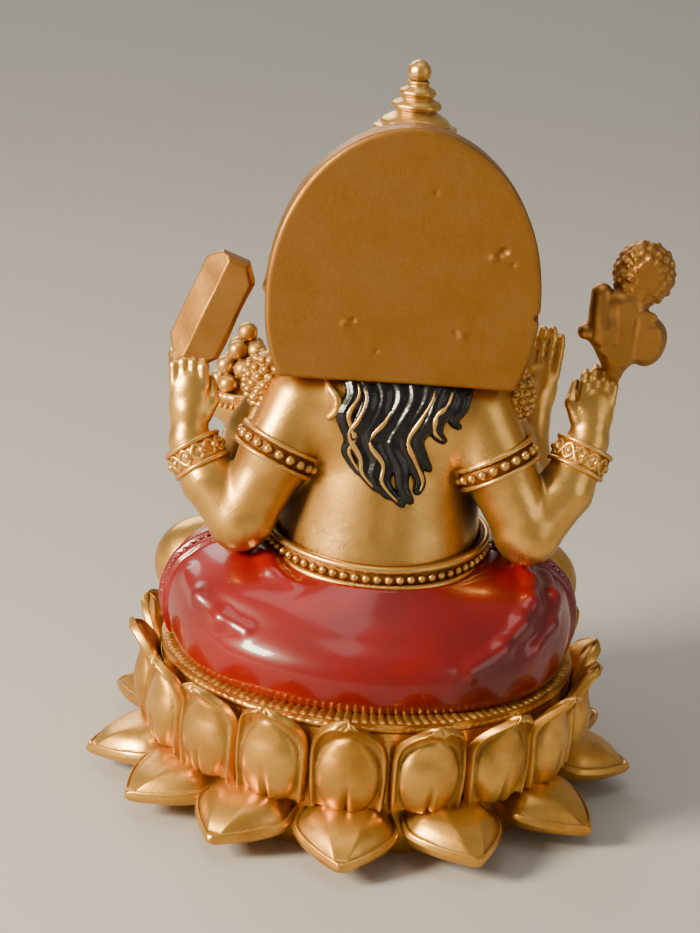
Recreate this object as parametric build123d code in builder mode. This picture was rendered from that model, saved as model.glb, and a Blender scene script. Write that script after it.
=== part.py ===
"""A seated, four-armed, elephant-headed idol on a lotus pedestal, cast in resin and bonded together.

Millimetres. +Z is up, the figure looks along -Y, and +X is the figure's own left.
The origin is the centre of the flat face that the pedestal stands on.
"""

import os
from math import radians, sin

from build123d import *

# Lotus pedestal
foot_radius = 41.0  # the step that the spreading petals are bonded to
foot_height = 12.0
drum_radius = 43.0  # the wall that the upright petals are bonded to
drum_height = 13.0
seat_thickness = 3.5  # the seed head, a disc laid on the drum
glue_gap = 0.1  # all round a peg in its socket

# Where each spreading petal points, in degrees from the back and positive to the figure's right
lower_petal_turns = [-5, 22, 52.5, 85.5, 111, 138, 165, -168, -140.5, -113.5, -80, -56, -31.5]
lower_petal_reach = 58.0  # from the axis to a tip
lower_petal_half_width = 10.3
lower_petal_tip_z = 5.0
lower_petal_tip_thickness = 1.6

upper_petal_count = 18
upper_petal_turn = -5.5  # degrees, of the first petal from the back
upper_petal_crest = 6.5  # how far a petal stands above the drum
upper_petal_bulge = 4.6  # how far its belly stands out of the drum's wall
upper_petal_lip = 6.8  # and its flared tip
petal_gap = 0.25  # between neighbouring petals, and over the spreading ones

# Body
seat_z = foot_height + drum_height + seat_thickness
belt_z = 49.5  # the flat joint between the dhoti and the torso
belt_height = 5.5
belt_thickness = 2.4
waist_x = 21.6  # half-widths of the waist inside the belt
waist_y = 22.8
waist_centre_y = 1.0
body_peg_radius = 7.0
body_peg_length = 7.5
neck_z = 92.0  # the flat joint between the torso and the head
neck_y = 0.0
neck_peg_radius = 4.5
neck_peg_length = 6.0
# Sections of the torso from the belt up: height, half-widths across and fore-and-aft, centre in Y
torso_sections = [
    (belt_z, 21.6, 22.8, 1.0),
    (59.0, 21.8, 24.0, -2.0),
    (70.0, 20.0, 20.5, -0.5),
    (81.0, 18.5, 14.5, 1.5),
    (neck_z, 8.5, 8.5, neck_y),
]

# Sections of the dhoti from the seat up to the belt, in the same form
hip_sections = [
    (seat_z, 42.0, 33.0, 5.5),
    (seat_z + 8.0, 44.2, 34.6, 4.8),
    (seat_z + 16.0, 43.0, 31.0, 3.2),
    (belt_z, 38.5, 27.4, 1.6),
]

# Back plate
plate_back_y = 17.0
plate_thickness = 7.0
plate_half_width = 27.0
plate_foot_half_width = 22.0
plate_foot_z = 89.5
plate_wide_z = 107.0  # where it is widest
plate_top_z = 140.0

# Head, crown and finial
head_centre = Vector(0, -4.5, 105)
head_half_width = 14.0
head_half_depth = 15.6
head_half_height = 15.5
crown_axis = Vector(-1.2, -3.0, 0)  # the head leans a little to the figure's right
crown_foot_z = 116.0
crown_foot_radius = 13.4
crown_band_height = 5.0
crown_top_radius = 6.0
overall_height = 150.0
finial_height = 12.8  # from the crown's flat top to the top of the ball
finial_flare_radius = 6.7
finial_ball_radius = 2.35
finial_peg_radius = 2.0
finial_peg_length = 4.0
crown_top_z = overall_height - finial_height
tusk_radius = 1.7
tusk_length = 10.0
broken_tusk_length = 5.0
ear_back_y = -1.5
ear_thickness = 3.2
ear_reach = 27.5  # from the middle to an ear's edge
hair_half_width = 12.0
hair_thickness = 2.6
hair_tip_z = 64.5
hair_front_y = 9.0  # the locks lie wholly behind this

# Rear arms: shoulder, elbow, wrist and knuckles, on the figure's left (1) and right (-1)
rear_joints = {
    1: [Vector(16.5, 8, 81), Vector(28.5, 12, 57.6), Vector(39.6, 6, 71.5), Vector(40, 4.6, 85.5)],
    -1: [Vector(-17, 8, 81), Vector(-29.8, 12, 58.6), Vector(-41, 5.5, 77), Vector(-42, 4.6, 87)],
}
rear_shoulder_radius = 8.0
rear_elbow_radius = 6.2
rear_wrist_radius = 4.2
armlet_share = 0.38  # of the way from the shoulder to the elbow
armlet_height = 5.2
armlet_thickness = 1.1
bangle_share = 0.72  # of the way from the elbow to the wrist
bangle_height = 7.4
bangle_thickness = 1.2
front_shoulder = Vector(19.0, -4.0, 83.0)
front_elbow = Vector(29.8, -3.5, 60.5)
front_shoulder_radius = 6.8
front_elbow_radius = 5.2
front_wrist_radius = 3.6
front_hands = {
    1: [Vector(30.6, -13.5, 62.6), Vector(28.8, -23.5, 65.2)],
    -1: [Vector(-31.6, -14.5, 75.0), Vector(-33.2, -17.2, 86.0)],
}

# Hands
palm_width = 8.0
palm_thickness = 4.4
finger_radius = 0.98
finger_length = 7.5
finger_pitch = 1.85  # less than a finger's width, so that they meet
finger_count = 4
rear_finger_bend = 2.0  # these fingers curl round what they hold
front_finger_bend = 0.8

# What the rear hands hold
axe_length = 24.5
axe_half_width = 5.6
axe_thickness = 5.0
axe_bevel = 1.3
axe_plane = Plane(origin=(36.6, 3.2, 98.0), x_dir=(0.93, 0, 0.37), z_dir=(0, -1, 0))
bud_centre = Vector(-49.8, 0.4, 111.0)
bud_radius = 5.4
bud_back_y = 3.2

# Bowl of sweets
bowl_centre = Vector(29.0, -21.0, 0)
bowl_foot_z = 66.5
bowl_rim_z = 76.0
bowl_rim_radius = 8.0
bowl_foot_radius = 3.6
bowl_wall = 1.1
sweet_radius = 2.05

os.makedirs("parts", exist_ok=True)
drum_top_z = foot_height + drum_height
plate_front_y = plate_back_y - plate_thickness


def keep(piece, name):
    """Labels a finished piece and writes it under its own name."""
    piece.label = name
    export_step(piece, f"parts/{name}.step")


def egg(centre, half_x, half_y, half_z):
    """A closed ellipsoid, made by stretching a unit ball."""
    ball = scale(
        Sphere(1, mode=Mode.PRIVATE), by=(half_x, half_y, half_z), mode=Mode.PRIVATE
    )
    return ball.moved(Location(centre))


def limb(points, radii):
    """A rounded, tapering limb through these points."""
    with BuildPart() as made:
        for start, end, wide, narrow in zip(points, points[1:], radii, radii[1:]):
            with Locations(Plane(origin=start, z_dir=end - start)):
                Cone(
                    wide,
                    narrow + 1e-3 if wide == narrow else narrow,
                    (end - start).length,
                    align=(Align.CENTER, Align.CENTER, Align.MIN),
                )
        for point, radius in zip(points, radii):
            with Locations(point):
                Sphere(radius)
    return made.part


def cut_from(piece, *others):
    """The largest solid that is left of a piece when its neighbours are cut away."""
    with BuildPart() as left_over:
        add(piece)
        for other in others:
            add(other, mode=Mode.SUBTRACT)
    return max(left_over.part.solids(), key=lambda solid: solid.volume)


def on_side(point, side):
    """A point of the figure's left side, or its mirror image where side is -1."""
    return Vector(side * point.X, point.Y, point.Z)


# ---------------------------------------------------------------- lotus pedestal
# The core is one casting: a foot, a wider drum on it and a socket for the figure's peg.
with BuildPart() as lotus_base:
    Cylinder(foot_radius, foot_height, align=(Align.CENTER, Align.CENTER, Align.MIN))
    with Locations((0, 0, foot_height)):
        Cylinder(
            drum_radius, drum_height, align=(Align.CENTER, Align.CENTER, Align.MIN)
        )
    with Locations((0, 0, drum_top_z)):
        Hole(body_peg_radius + glue_gap, depth=body_peg_length)
keep(lotus_base.part, "lotus_base")

# The seed head is a disc laid on the drum, inside the ring of upright petals.
with BuildPart() as seed_head:
    with Locations((0, 0, drum_top_z)):
        Cylinder(
            drum_radius - glue_gap,
            seat_thickness,
            align=(Align.CENTER, Align.CENTER, Align.MIN),
        )
        Hole(body_peg_radius + glue_gap, depth=2 * seat_thickness)
keep(seed_head.part, "seed_head")

# Every spreading petal is cut from one ring of this section: thick at the foot, thin at the tip.
with BuildPart() as lower_petal_ring:
    with BuildSketch(Plane.XZ):
        with BuildLine():
            root_top = (foot_radius, foot_height - petal_gap)
            tip_top = (lower_petal_reach, lower_petal_tip_z)
            tip_under = (
                lower_petal_reach,
                lower_petal_tip_z - lower_petal_tip_thickness,
            )
            root_under = (foot_radius, 1.0)
            Bezier(
                root_top, (foot_radius + 7, foot_height), (52, foot_height - 2), tip_top
            )
            Line(tip_top, tip_under)
            Bezier(tip_under, (52, 1.2), root_under)
            Line(root_under, root_top)
        make_face()
    revolve(axis=Axis.Z)

with BuildPart() as lower_petal:
    add(lower_petal_ring.part)
    with BuildSketch(Plane.XY):
        with BuildLine():
            half = lower_petal_half_width
            root = (foot_radius - 2, 0.8 * half)
            shoulder = (foot_radius + 7, half)
            tip = (lower_petal_reach, 0)
            Line((foot_radius - 2, -0.8 * half), root)
            Bezier(
                root,
                (foot_radius + 3, half),
                shoulder,
            )
            Bezier(shoulder, (foot_radius + 11, half), (lower_petal_reach - 3, 2), tip)
            mirror(about=Plane.XZ)
        make_face()
    extrude(amount=foot_height + 1, mode=Mode.INTERSECT)

# Where hand-set petals crowd, each is tucked against the ones that are already in place.
placed_petals = []
for number, turn in enumerate(lower_petal_turns):
    petal = lower_petal.part.rotate(Axis.Z, 90 + turn)
    for neighbour in placed_petals[:1] + placed_petals[-1:]:
        petal = cut_from(petal, neighbour)
    placed_petals.append(petal)
    keep(petal, f"lower_petal_{number + 1:02d}")

# Every upright petal is cut from a ring that bulges, draws in and flares at its lip.
with BuildPart() as upper_petal_ring:
    with BuildSketch(Plane.XZ):
        with BuildLine():
            crest_z = drum_top_z + upper_petal_crest
            foot_in = (drum_radius, foot_height)
            foot_out = (drum_radius + 2.4, foot_height)
            lip_out = (drum_radius + upper_petal_lip, crest_z)
            lip_in = (drum_radius + upper_petal_lip - 1.6, crest_z)
            throat = (drum_radius, drum_top_z)
            Line(foot_in, foot_out)
            Bezier(
                foot_out,
                (drum_radius + upper_petal_bulge + 1, foot_height + 5),
                (drum_radius + upper_petal_bulge - 1.6, drum_top_z - 1),
                lip_out,
            )
            Line(lip_out, lip_in)
            Bezier(lip_in, (drum_radius + 1.5, drum_top_z + 3), throat)
            Line(throat, foot_in)
        make_face()
    revolve(axis=Axis.Z)

with BuildPart() as upper_petal:
    add(upper_petal_ring.part)
    with BuildSketch(Plane.YZ):
        with BuildLine():
            half = drum_radius * sin(radians(180 / upper_petal_count)) - petal_gap / 2
            shoulder_z = drum_top_z - 1.0
            Line((-half, foot_height), (half, foot_height))
            Line((half, foot_height), (half, shoulder_z))
            Bezier(
                (half, shoulder_z), (half, crest_z - 1.5), (half / 2, crest_z), (0, crest_z)
            )
            Bezier(
                (0, crest_z), (-half / 2, crest_z), (-half, crest_z - 1.5), (-half, shoulder_z)
            )
            Line((-half, shoulder_z), (-half, foot_height))
        make_face()
    extrude(amount=lower_petal_reach, mode=Mode.INTERSECT)

for number in range(upper_petal_count):
    turn = 360 / upper_petal_count * number + upper_petal_turn
    keep(upper_petal.part.rotate(Axis.Z, 90 + turn), f"upper_petal_{number + 1:02d}")

# ---------------------------------------------------------------- torso and belt
waist_centre = Vector(0, waist_centre_y, 0)


def torso_form(grow):
    """The belly, back, chest and neck as one soft form, grown outwards by this much."""
    with BuildPart() as made:
        for z, half_x, half_y, centre_y in torso_sections:
            with BuildSketch(Plane.XY.offset(z)):
                with Locations((0, centre_y)):
                    Ellipse(half_x + grow, half_y + grow)
        loft()
    return made.part


with BuildPart() as plate_outline:
    with BuildSketch(Plane.XZ.offset(-plate_back_y)):
        with BuildLine():
            foot_corner = (plate_foot_half_width, plate_foot_z)
            widest = (plate_half_width, plate_wide_z)
            top = (0, plate_top_z)
            Line((-plate_foot_half_width, plate_foot_z), foot_corner)
            Bezier(foot_corner, (plate_half_width, plate_foot_z + 8), widest)
            Bezier(
                widest,
                (plate_half_width, plate_wide_z + 20),
                (plate_half_width - 11, plate_top_z),
                top,
            )
            Bezier(
                top,
                (11 - plate_half_width, plate_top_z),
                (-plate_half_width, plate_wide_z + 20),
                (-plate_half_width, plate_wide_z),
            )
            Bezier(
                (-plate_half_width, plate_wide_z),
                (-plate_half_width, plate_foot_z + 8),
                (-plate_foot_half_width, plate_foot_z),
            )
        make_face()
    extrude(amount=plate_thickness)
    chamfer(plate_outline.faces().sort_by(Axis.Y)[0].edges(), 1.2)
back_plate = plate_outline
keep(back_plate.part, "back_plate")

with BuildPart() as belt_block:
    with BuildSketch(Plane.XY.offset(belt_z)):
        with Locations((0, waist_centre_y)):
            Ellipse(waist_x + belt_thickness, waist_y + belt_thickness)
    extrude(amount=belt_height)

with BuildPart() as waist_block:
    with BuildSketch(Plane.XY.offset(belt_z)):
        with Locations((0, waist_centre_y)):
            Ellipse(waist_x, waist_y)
    extrude(amount=belt_height)

with BuildPart() as waist_belt:
    add(belt_block.part)
    add(waist_block.part, mode=Mode.SUBTRACT)
keep(waist_belt.part, "waist_belt")

with BuildPart() as torso:
    add(torso_form(0))
    add(belt_block.part, mode=Mode.SUBTRACT)
    add(waist_block.part)
    add(back_plate.part, mode=Mode.SUBTRACT)
    with Locations((0, neck_y, neck_z)):
        Hole(neck_peg_radius + glue_gap, depth=neck_peg_length)
    with Locations((0, 0, belt_z)):
        Cylinder(
            body_peg_radius,
            body_peg_length - glue_gap,
            align=(Align.CENTER, Align.CENTER, Align.MAX),
        )
keep(torso.part, "torso")

# ---------------------------------------------------------------- dhoti and legs
knee = Vector(33.5, -10.5, 38.6)
knee_radius = 9.6
with BuildPart() as hips:
    for z, half_x, half_y, centre_y in hip_sections:
        with BuildSketch(Plane.XY.offset(z)):
            with Locations((0, centre_y)):
                Ellipse(half_x, half_y)
    loft()


def leg(side, ankle, foot_end, foot_half_height):
    """A bare knee, shin and foot, cut flat where it lies on the seat."""
    with BuildPart() as made:
        add(
            limb(
                [on_side(knee, side), ankle, foot_end],
                [knee_radius, 5.2, foot_half_height],
            )
        )
        with Locations((0, 0, seat_z)):
            Box(120, 120, 60, align=(Align.CENTER, Align.CENTER, Align.MAX), mode=Mode.SUBTRACT)
    return made.part


left_leg = leg(1, Vector(2, -31.5, 33.7), Vector(-12, -32.5, 32.3), 3.8)
right_leg_block = leg(-1, Vector(4, -24.5, 42.5), Vector(15.5, -22.5, 43.5), 3.6)
with BuildPart() as right_leg:
    add(right_leg_block)
    add(left_leg, mode=Mode.SUBTRACT)
keep(left_leg, "left_leg")

# The upper foot rests against the belly, so it is cut to fit.
with BuildPart() as fitted_right_leg:
    add(right_leg.part)
    add(torso.part, mode=Mode.SUBTRACT)
    add(waist_belt.part, mode=Mode.SUBTRACT)
keep(fitted_right_leg.part, "right_leg")

with BuildPart() as dhoti:
    add(hips.part)
    add(left_leg, mode=Mode.SUBTRACT)
    add(fitted_right_leg.part, mode=Mode.SUBTRACT)
    with Locations((0, 0, belt_z)):
        Hole(body_peg_radius + glue_gap, depth=body_peg_length)
    with Locations((0, 0, seat_z)):
        Cylinder(
            body_peg_radius,
            body_peg_length + seat_thickness - glue_gap,
            align=(Align.CENTER, Align.CENTER, Align.MAX),
        )
keep(dhoti.part, "dhoti")

# ---------------------------------------------------------------- hair
# Long locks lie on the back, from the plate's foot to a point below the shoulder blades.
with BuildPart() as hair:
    with BuildSketch(Plane.XZ.offset(-hair_front_y)):
        with BuildLine():
            hair_left = (hair_half_width - 2.3, plate_foot_z)
            hair_right = (-hair_half_width - 2.3, plate_foot_z)
            hair_tip = (-3.5, hair_tip_z)
            Line(hair_right, hair_left)
            Bezier(hair_left, (12, 78), (-3, 74), (0, 68), hair_tip)
            Bezier(hair_tip, (-9, 68), (-6, 75), (-20, 82), hair_right)
        make_face()
    extrude(amount=-40)
    add(torso_form(hair_thickness), mode=Mode.INTERSECT)
    add(torso.part, mode=Mode.SUBTRACT)
keep(hair.part, "hair")

# ---------------------------------------------------------------- head
trunk_points = [
    Vector(0, -12, 101),
    Vector(0.3, -20.5, 95),
    Vector(2.2, -25.5, 86),
    Vector(6.5, -28, 78),
    Vector(12.5, -29.5, 74.5),
    Vector(17.6, -29, 77),
    Vector(18.6, -27.5, 81.5),
]
trunk_radii = [9.0, 6.4, 5.2, 4.4, 3.7, 3.1, 2.5]
with BuildPart() as head:
    add(egg(head_centre, head_half_width, head_half_depth, head_half_height))
    for side in (1, -1):
        add(egg((side * 7, -8, 99), 6.5, 8.5, 6.5))
    add(limb(trunk_points, trunk_radii))
    add(torso.part, mode=Mode.SUBTRACT)
    with Locations((0, plate_front_y, 0)):
        Box(80, 20, 300, align=(Align.CENTER, Align.MIN, Align.CENTER), mode=Mode.SUBTRACT)
    with Locations((0, 0, crown_foot_z)):
        Box(80, 80, 20, align=(Align.CENTER, Align.CENTER, Align.MIN), mode=Mode.SUBTRACT)
    with Locations((0, neck_y, neck_z)):
        Box(20, 2 * 8.5, 12, align=(Align.CENTER, Align.CENTER, Align.MAX), mode=Mode.SUBTRACT)
        Cylinder(
            neck_peg_radius,
            neck_peg_length - glue_gap,
            align=(Align.CENTER, Align.CENTER, Align.MAX),
        )
    with Locations(crown_axis + Vector(0, 0, crown_foot_z)):
        Hole(neck_peg_radius + glue_gap, depth=neck_peg_length)
keep(head.part, "head")

# Each ear is a broad, thin fan that stands out from the side of the head.
with BuildPart() as ear_block:
    with BuildSketch(Plane.XZ.offset(-ear_back_y)):
        with BuildLine():
            Spline(
                (10, 112),
                (19, 114.6),
                (ear_reach - 1.5, 109),
                (ear_reach, 102),
                (22, 94.5),
                (16, 91.5),
                (11, 96),
                periodic=True,
            )
        make_face()
    extrude(amount=ear_thickness)
for side, name in ((1, "left_ear"), (-1, "right_ear")):
    with BuildPart() as ear:
        add(ear_block.part if side > 0 else ear_block.part.mirror(Plane.YZ))
        add(head.part, mode=Mode.SUBTRACT)
    keep(max(ear.part.solids(), key=lambda solid: solid.volume), name)

tusk_root = Vector(6.5, -14.5, 96.0)
tusk_direction = Vector(0.32, -0.8, -0.5)
for side, length, name in (
    (1, broken_tusk_length, "left_tusk"),
    (-1, tusk_length, "right_tusk"),
):
    with BuildPart() as tusk:
        with Locations(
            Plane(origin=on_side(tusk_root, side), z_dir=on_side(tusk_direction, side))
        ):
            Cone(
                tusk_radius,
                tusk_radius - 0.09 * length,
                length + 2,
                align=(Align.CENTER, Align.CENTER, Align.MIN),
            )
        add(head.part, mode=Mode.SUBTRACT)
    keep(max(tusk.part.solids(), key=lambda solid: solid.volume), name)

# ---------------------------------------------------------------- crown and finial
with BuildPart() as crown:
    with BuildSketch(Plane.XZ):
        with BuildLine():
            band_top_z = crown_foot_z + crown_band_height
            Line((0, crown_foot_z), (crown_foot_radius, crown_foot_z))
            Line((crown_foot_radius, crown_foot_z), (crown_foot_radius, band_top_z))
            Line((crown_foot_radius, band_top_z), (crown_foot_radius - 1.4, band_top_z))
            Bezier(
                (crown_foot_radius - 1.4, band_top_z),
                (crown_foot_radius - 0.8, band_top_z + 6),
                (crown_top_radius + 2.4, crown_top_z - 3),
                (crown_top_radius, crown_top_z),
            )
            Line((crown_top_radius, crown_top_z), (0, crown_top_z))
            Line((0, crown_top_z), (0, crown_foot_z))
        make_face()
    revolve(axis=Axis.Z)
crown_block = crown.part.moved(Location(crown_axis))
with BuildPart() as fitted_crown:
    add(crown_block)
    add(back_plate.part, mode=Mode.SUBTRACT)
    with Locations(crown_axis + Vector(0, 0, crown_foot_z)):
        Cylinder(
            neck_peg_radius,
            neck_peg_length - glue_gap,
            align=(Align.CENTER, Align.CENTER, Align.MAX),
        )
    with Locations(crown_axis + Vector(0, 0, crown_top_z)):
        Hole(finial_peg_radius + glue_gap, depth=finial_peg_length)
keep(fitted_crown.part, "crown")

# The finial is a turned stack: a flare, two rings, a neck and a ball.
with BuildPart() as finial:
    with BuildSketch(Plane.XZ):
        with BuildLine():
            ball_centre_z = overall_height - finial_ball_radius
            neck_radius = 0.55 * finial_ball_radius
            neck_top = (neck_radius, ball_centre_z - 0.8 * finial_ball_radius)
            Polyline(
                (0, crown_top_z),
                (finial_flare_radius, crown_top_z),
                (finial_flare_radius, crown_top_z + 1.4),
                (0.58 * finial_flare_radius, crown_top_z + 3.0),
                (0.72 * finial_flare_radius, crown_top_z + 3.6),
                (0.72 * finial_flare_radius, crown_top_z + 4.6),
                (0.45 * finial_flare_radius, crown_top_z + 5.4),
                (0.52 * finial_flare_radius, crown_top_z + 6.0),
                (0.52 * finial_flare_radius, crown_top_z + 6.9),
                neck_top,
                (0, neck_top[1]),
                (0, crown_top_z),
            )
        make_face()
    revolve(axis=Axis.Z)
    with Locations((0, 0, ball_centre_z)):
        Sphere(finial_ball_radius)
    with Locations((0, 0, crown_top_z)):
        Cylinder(
            finial_peg_radius,
            finial_peg_length - glue_gap,
            align=(Align.CENTER, Align.CENTER, Align.MAX),
        )
keep(finial.part.moved(Location(crown_axis)), "finial")

# ---------------------------------------------------------------- arms
def arm_ring(start, end, start_radius, end_radius, share, height, thickness):
    """A band round a tapering arm, centred at this share of the way from start to end."""
    centre = start + (end - start) * share
    limb_radius = start_radius + (end_radius - start_radius) * share
    with BuildPart() as made:
        with Locations(Plane(origin=centre, z_dir=end - start)):
            Cylinder(limb_radius + thickness, height)
            Cylinder(limb_radius - thickness, height, mode=Mode.SUBTRACT)
    return made.part


def hand_block(wrist, knuckles, spread, tips_lean, finger_bend):
    """A palm from the wrist to the knuckles, four fingers beyond them, and a thumb."""
    palm_length = (knuckles - wrist).length
    reach = (knuckles - wrist).normalized()
    spread = (spread - reach * spread.dot(reach)).normalized()
    with BuildPart() as made:
        add(
            egg(Vector(0, 0, 0), palm_width / 2, palm_thickness / 2, palm_length / 2 + 1).moved(
                Location(Plane(origin=(wrist + knuckles) * 0.5, x_dir=spread, z_dir=reach))
            )
        )
        with Locations(Plane(origin=wrist, z_dir=reach)):
            Cone(
                front_wrist_radius,
                front_wrist_radius - 0.6,
                palm_length / 2,
                align=(Align.CENTER, Align.CENTER, Align.MIN),
            )
        for finger in range(finger_count):
            aside = (finger - (finger_count - 1) / 2) * finger_pitch
            root = knuckles + spread * aside - reach * 2
            middle = root + (reach + tips_lean * 0.3) * (finger_length * 0.55)
            tip = middle + (reach + tips_lean * finger_bend).normalized() * (finger_length * 0.5)
            add(limb([root, middle, tip], [finger_radius + 0.15, finger_radius, finger_radius - 0.15]))
        thumb_root = wrist + reach * 2 + spread * (palm_width / 2 - 1.6)
        thumb_tip = thumb_root + (reach * 0.8 + spread * 0.45 + tips_lean * 0.3) * 6.0
        add(limb([thumb_root, thumb_tip], [1.7, 1.05]))
    return made.part


# The axe blade is a thick eight-sided tablet with a bevelled front and a plain back.
with BuildPart() as axe_head:
    with BuildSketch(axe_plane):
        with BuildLine():
            Polyline(
                (-axe_half_width, -0.26 * axe_length),
                (-0.35 * axe_half_width, -axe_length / 2),
                (0.62 * axe_half_width, -0.44 * axe_length),
                (axe_half_width, -0.2 * axe_length),
                (axe_half_width, 0.3 * axe_length),
                (0.5 * axe_half_width, axe_length / 2),
                (-0.5 * axe_half_width, 0.44 * axe_length),
                (-axe_half_width, 0.22 * axe_length),
                close=True,
            )
        make_face()
    extrude(amount=axe_thickness)
    chamfer(axe_head.faces().sort_by(Axis.Y)[0].edges(), axe_bevel)
keep(axe_head.part, "axe_head")

# The lotus is a flat-backed spray: an opening bud on top, a bulb below and a leaf beside them.
with BuildPart() as lotus_bud:
    add(egg(bud_centre, bud_radius, bud_radius, 1.05 * bud_radius))
    add(egg(bud_centre + Vector(2.0, 0, -11.0), 5.2, 4.4, 7.0))
    add(egg(bud_centre + Vector(7.4, 0, -11.6), 4.6, 4.2, 5.4))
    add(egg(bud_centre + Vector(10.6, 0, -6.0), 3.2, 3.2, 5.6))
    add(egg(bud_centre + Vector(8.6, 0, -18.0), 3.6, 3.4, 6.4))
    with Locations((0, bud_back_y, 0)):
        Box(200, 20, 300, align=(Align.CENTER, Align.MIN, Align.CENTER), mode=Mode.SUBTRACT)
keep(lotus_bud.part, "lotus_bud")

held_things = {1: axe_head.part, -1: lotus_bud.part}

# A turned bowl with a foot, a round belly and a thick rim.
with BuildPart() as sweet_bowl:
    with BuildSketch(Plane.XZ):
        with BuildLine():
            inner_radius = bowl_rim_radius - bowl_wall
            Line((0, bowl_foot_z), (bowl_foot_radius, bowl_foot_z))
            Bezier(
                (bowl_foot_radius, bowl_foot_z),
                (bowl_rim_radius, bowl_foot_z + 1.5),
                (bowl_rim_radius, bowl_rim_z),
            )
            Line((bowl_rim_radius, bowl_rim_z), (inner_radius, bowl_rim_z))
            Bezier(
                (inner_radius, bowl_rim_z),
                (inner_radius, bowl_foot_z + 1.5 + bowl_wall),
                (0, bowl_foot_z + bowl_wall),
            )
            Line((0, bowl_foot_z + bowl_wall), (0, bowl_foot_z))
        make_face()
    revolve(axis=Axis.Z)
bowl_block = sweet_bowl.part.moved(Location(bowl_centre))
keep(bowl_block, "sweet_bowl")

# The round sweets are one heap: rings of balls that narrow upwards, on a solid heart.
sweet_layers = [(6, 0.66), (5, 0.52), (3, 0.33), (1, 0.0)]
with BuildPart() as sweets:
    with Locations(bowl_centre + Vector(0, 0, bowl_rim_z - 3)):
        Cone(
            bowl_rim_radius - bowl_wall - 1.4,
            1.0,
            3.3 * len(sweet_layers),
            align=(Align.CENTER, Align.CENTER, Align.MIN),
        )
    for layer, (count, share) in enumerate(sweet_layers):
        layer_z = bowl_rim_z + sweet_radius * 0.55 + 1.62 * sweet_radius * layer
        with Locations(bowl_centre + Vector(0, 0, layer_z)):
            with PolarLocations(share * bowl_rim_radius, count, start_angle=25 * layer):
                Sphere(sweet_radius)
keep(cut_from(sweets.part, bowl_block), "sweets")

armlets = []
for side, word in ((1, "left"), (-1, "right")):
    shoulder, elbow, wrist, knuckles = rear_joints[side]
    across = Vector(-side, 0.15, 0)
    curl = Vector(0.1 * side, -0.9, 0.1)
    hand = hand_block(wrist, knuckles, across, curl, rear_finger_bend)
    arm = limb(
        [shoulder, elbow, wrist],
        [rear_shoulder_radius, rear_elbow_radius, rear_wrist_radius],
    )
    armlet = arm_ring(
        shoulder,
        elbow,
        rear_shoulder_radius,
        rear_elbow_radius,
        armlet_share,
        armlet_height,
        armlet_thickness,
    )
    bangle = arm_ring(
        elbow,
        wrist,
        rear_elbow_radius,
        rear_wrist_radius,
        bangle_share,
        bangle_height,
        bangle_thickness,
    )
    palm_cut = cut_from(hand, arm, held_things[side])
    arm_cut = cut_from(arm, torso.part, back_plate.part, hair.part)
    keep(arm_cut, f"rear_{word}_arm")
    keep(palm_cut, f"rear_{word}_hand")
    armlets.append(cut_from(armlet, arm, torso.part))
    keep(cut_from(bangle, arm, palm_cut), f"rear_{word}_bangle")

    shoulder = on_side(front_shoulder, side)
    elbow = on_side(front_elbow, side)
    wrist, knuckles = front_hands[side]
    arm = limb(
        [shoulder, elbow, wrist],
        [front_shoulder_radius, front_elbow_radius, front_wrist_radius],
    )
    lean = Vector(0, -0.1, 0.5) if side > 0 else Vector(0, 0.1, 0)
    hand = hand_block(wrist, knuckles, Vector(-side, 0, 0), lean, front_finger_bend)
    with BuildPart() as front_arm:
        add(arm)
        add(hand)
    keep(
        cut_from(front_arm.part, torso.part, arm_cut, armlet, head.part, bowl_block),
        f"front_{word}_arm",
    )

# The two armlets are alike and share a node.
keep(Compound(armlets), "rear_armlets")
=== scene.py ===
"""A painted resin idol on a lotus pedestal, built up over its CAD frame.

The frame is in metres. Sizes below are in millimetres and are brought to metres when a mesh is made.
+Z is up, the figure looks along -Y, and +X is the figure's own left.
"""

import math

import bmesh
import bpy
import numpy as np
import openvdb
from mathutils import Matrix, Vector


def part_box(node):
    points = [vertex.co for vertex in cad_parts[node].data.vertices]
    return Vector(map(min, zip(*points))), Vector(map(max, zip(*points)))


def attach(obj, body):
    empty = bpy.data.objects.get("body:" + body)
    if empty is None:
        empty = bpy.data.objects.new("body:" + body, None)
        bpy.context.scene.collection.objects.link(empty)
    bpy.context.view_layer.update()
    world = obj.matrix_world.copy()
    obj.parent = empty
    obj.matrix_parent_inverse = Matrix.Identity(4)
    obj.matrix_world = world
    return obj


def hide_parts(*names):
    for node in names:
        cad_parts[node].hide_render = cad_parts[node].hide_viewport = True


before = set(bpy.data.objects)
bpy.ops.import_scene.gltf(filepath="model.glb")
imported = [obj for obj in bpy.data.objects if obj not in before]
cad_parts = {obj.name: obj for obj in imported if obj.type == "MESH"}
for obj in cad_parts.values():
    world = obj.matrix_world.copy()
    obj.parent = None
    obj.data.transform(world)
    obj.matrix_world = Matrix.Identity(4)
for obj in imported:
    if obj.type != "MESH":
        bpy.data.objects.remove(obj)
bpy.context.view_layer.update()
MM = 0.001

# ------------------------------------------------------------------ studio
# A pale floor under the pedestal's foot, a warm lamp on the figure's left behind it, and a
# camera that looks at the idol's back from a little above.
camera_spot = Vector((30.73, 466.37, 221.79)) * MM
camera_aim = Vector((6.42, 0, 66.45)) * MM
camera_roll = math.radians(4.56)
camera_lens = 92.6

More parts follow.
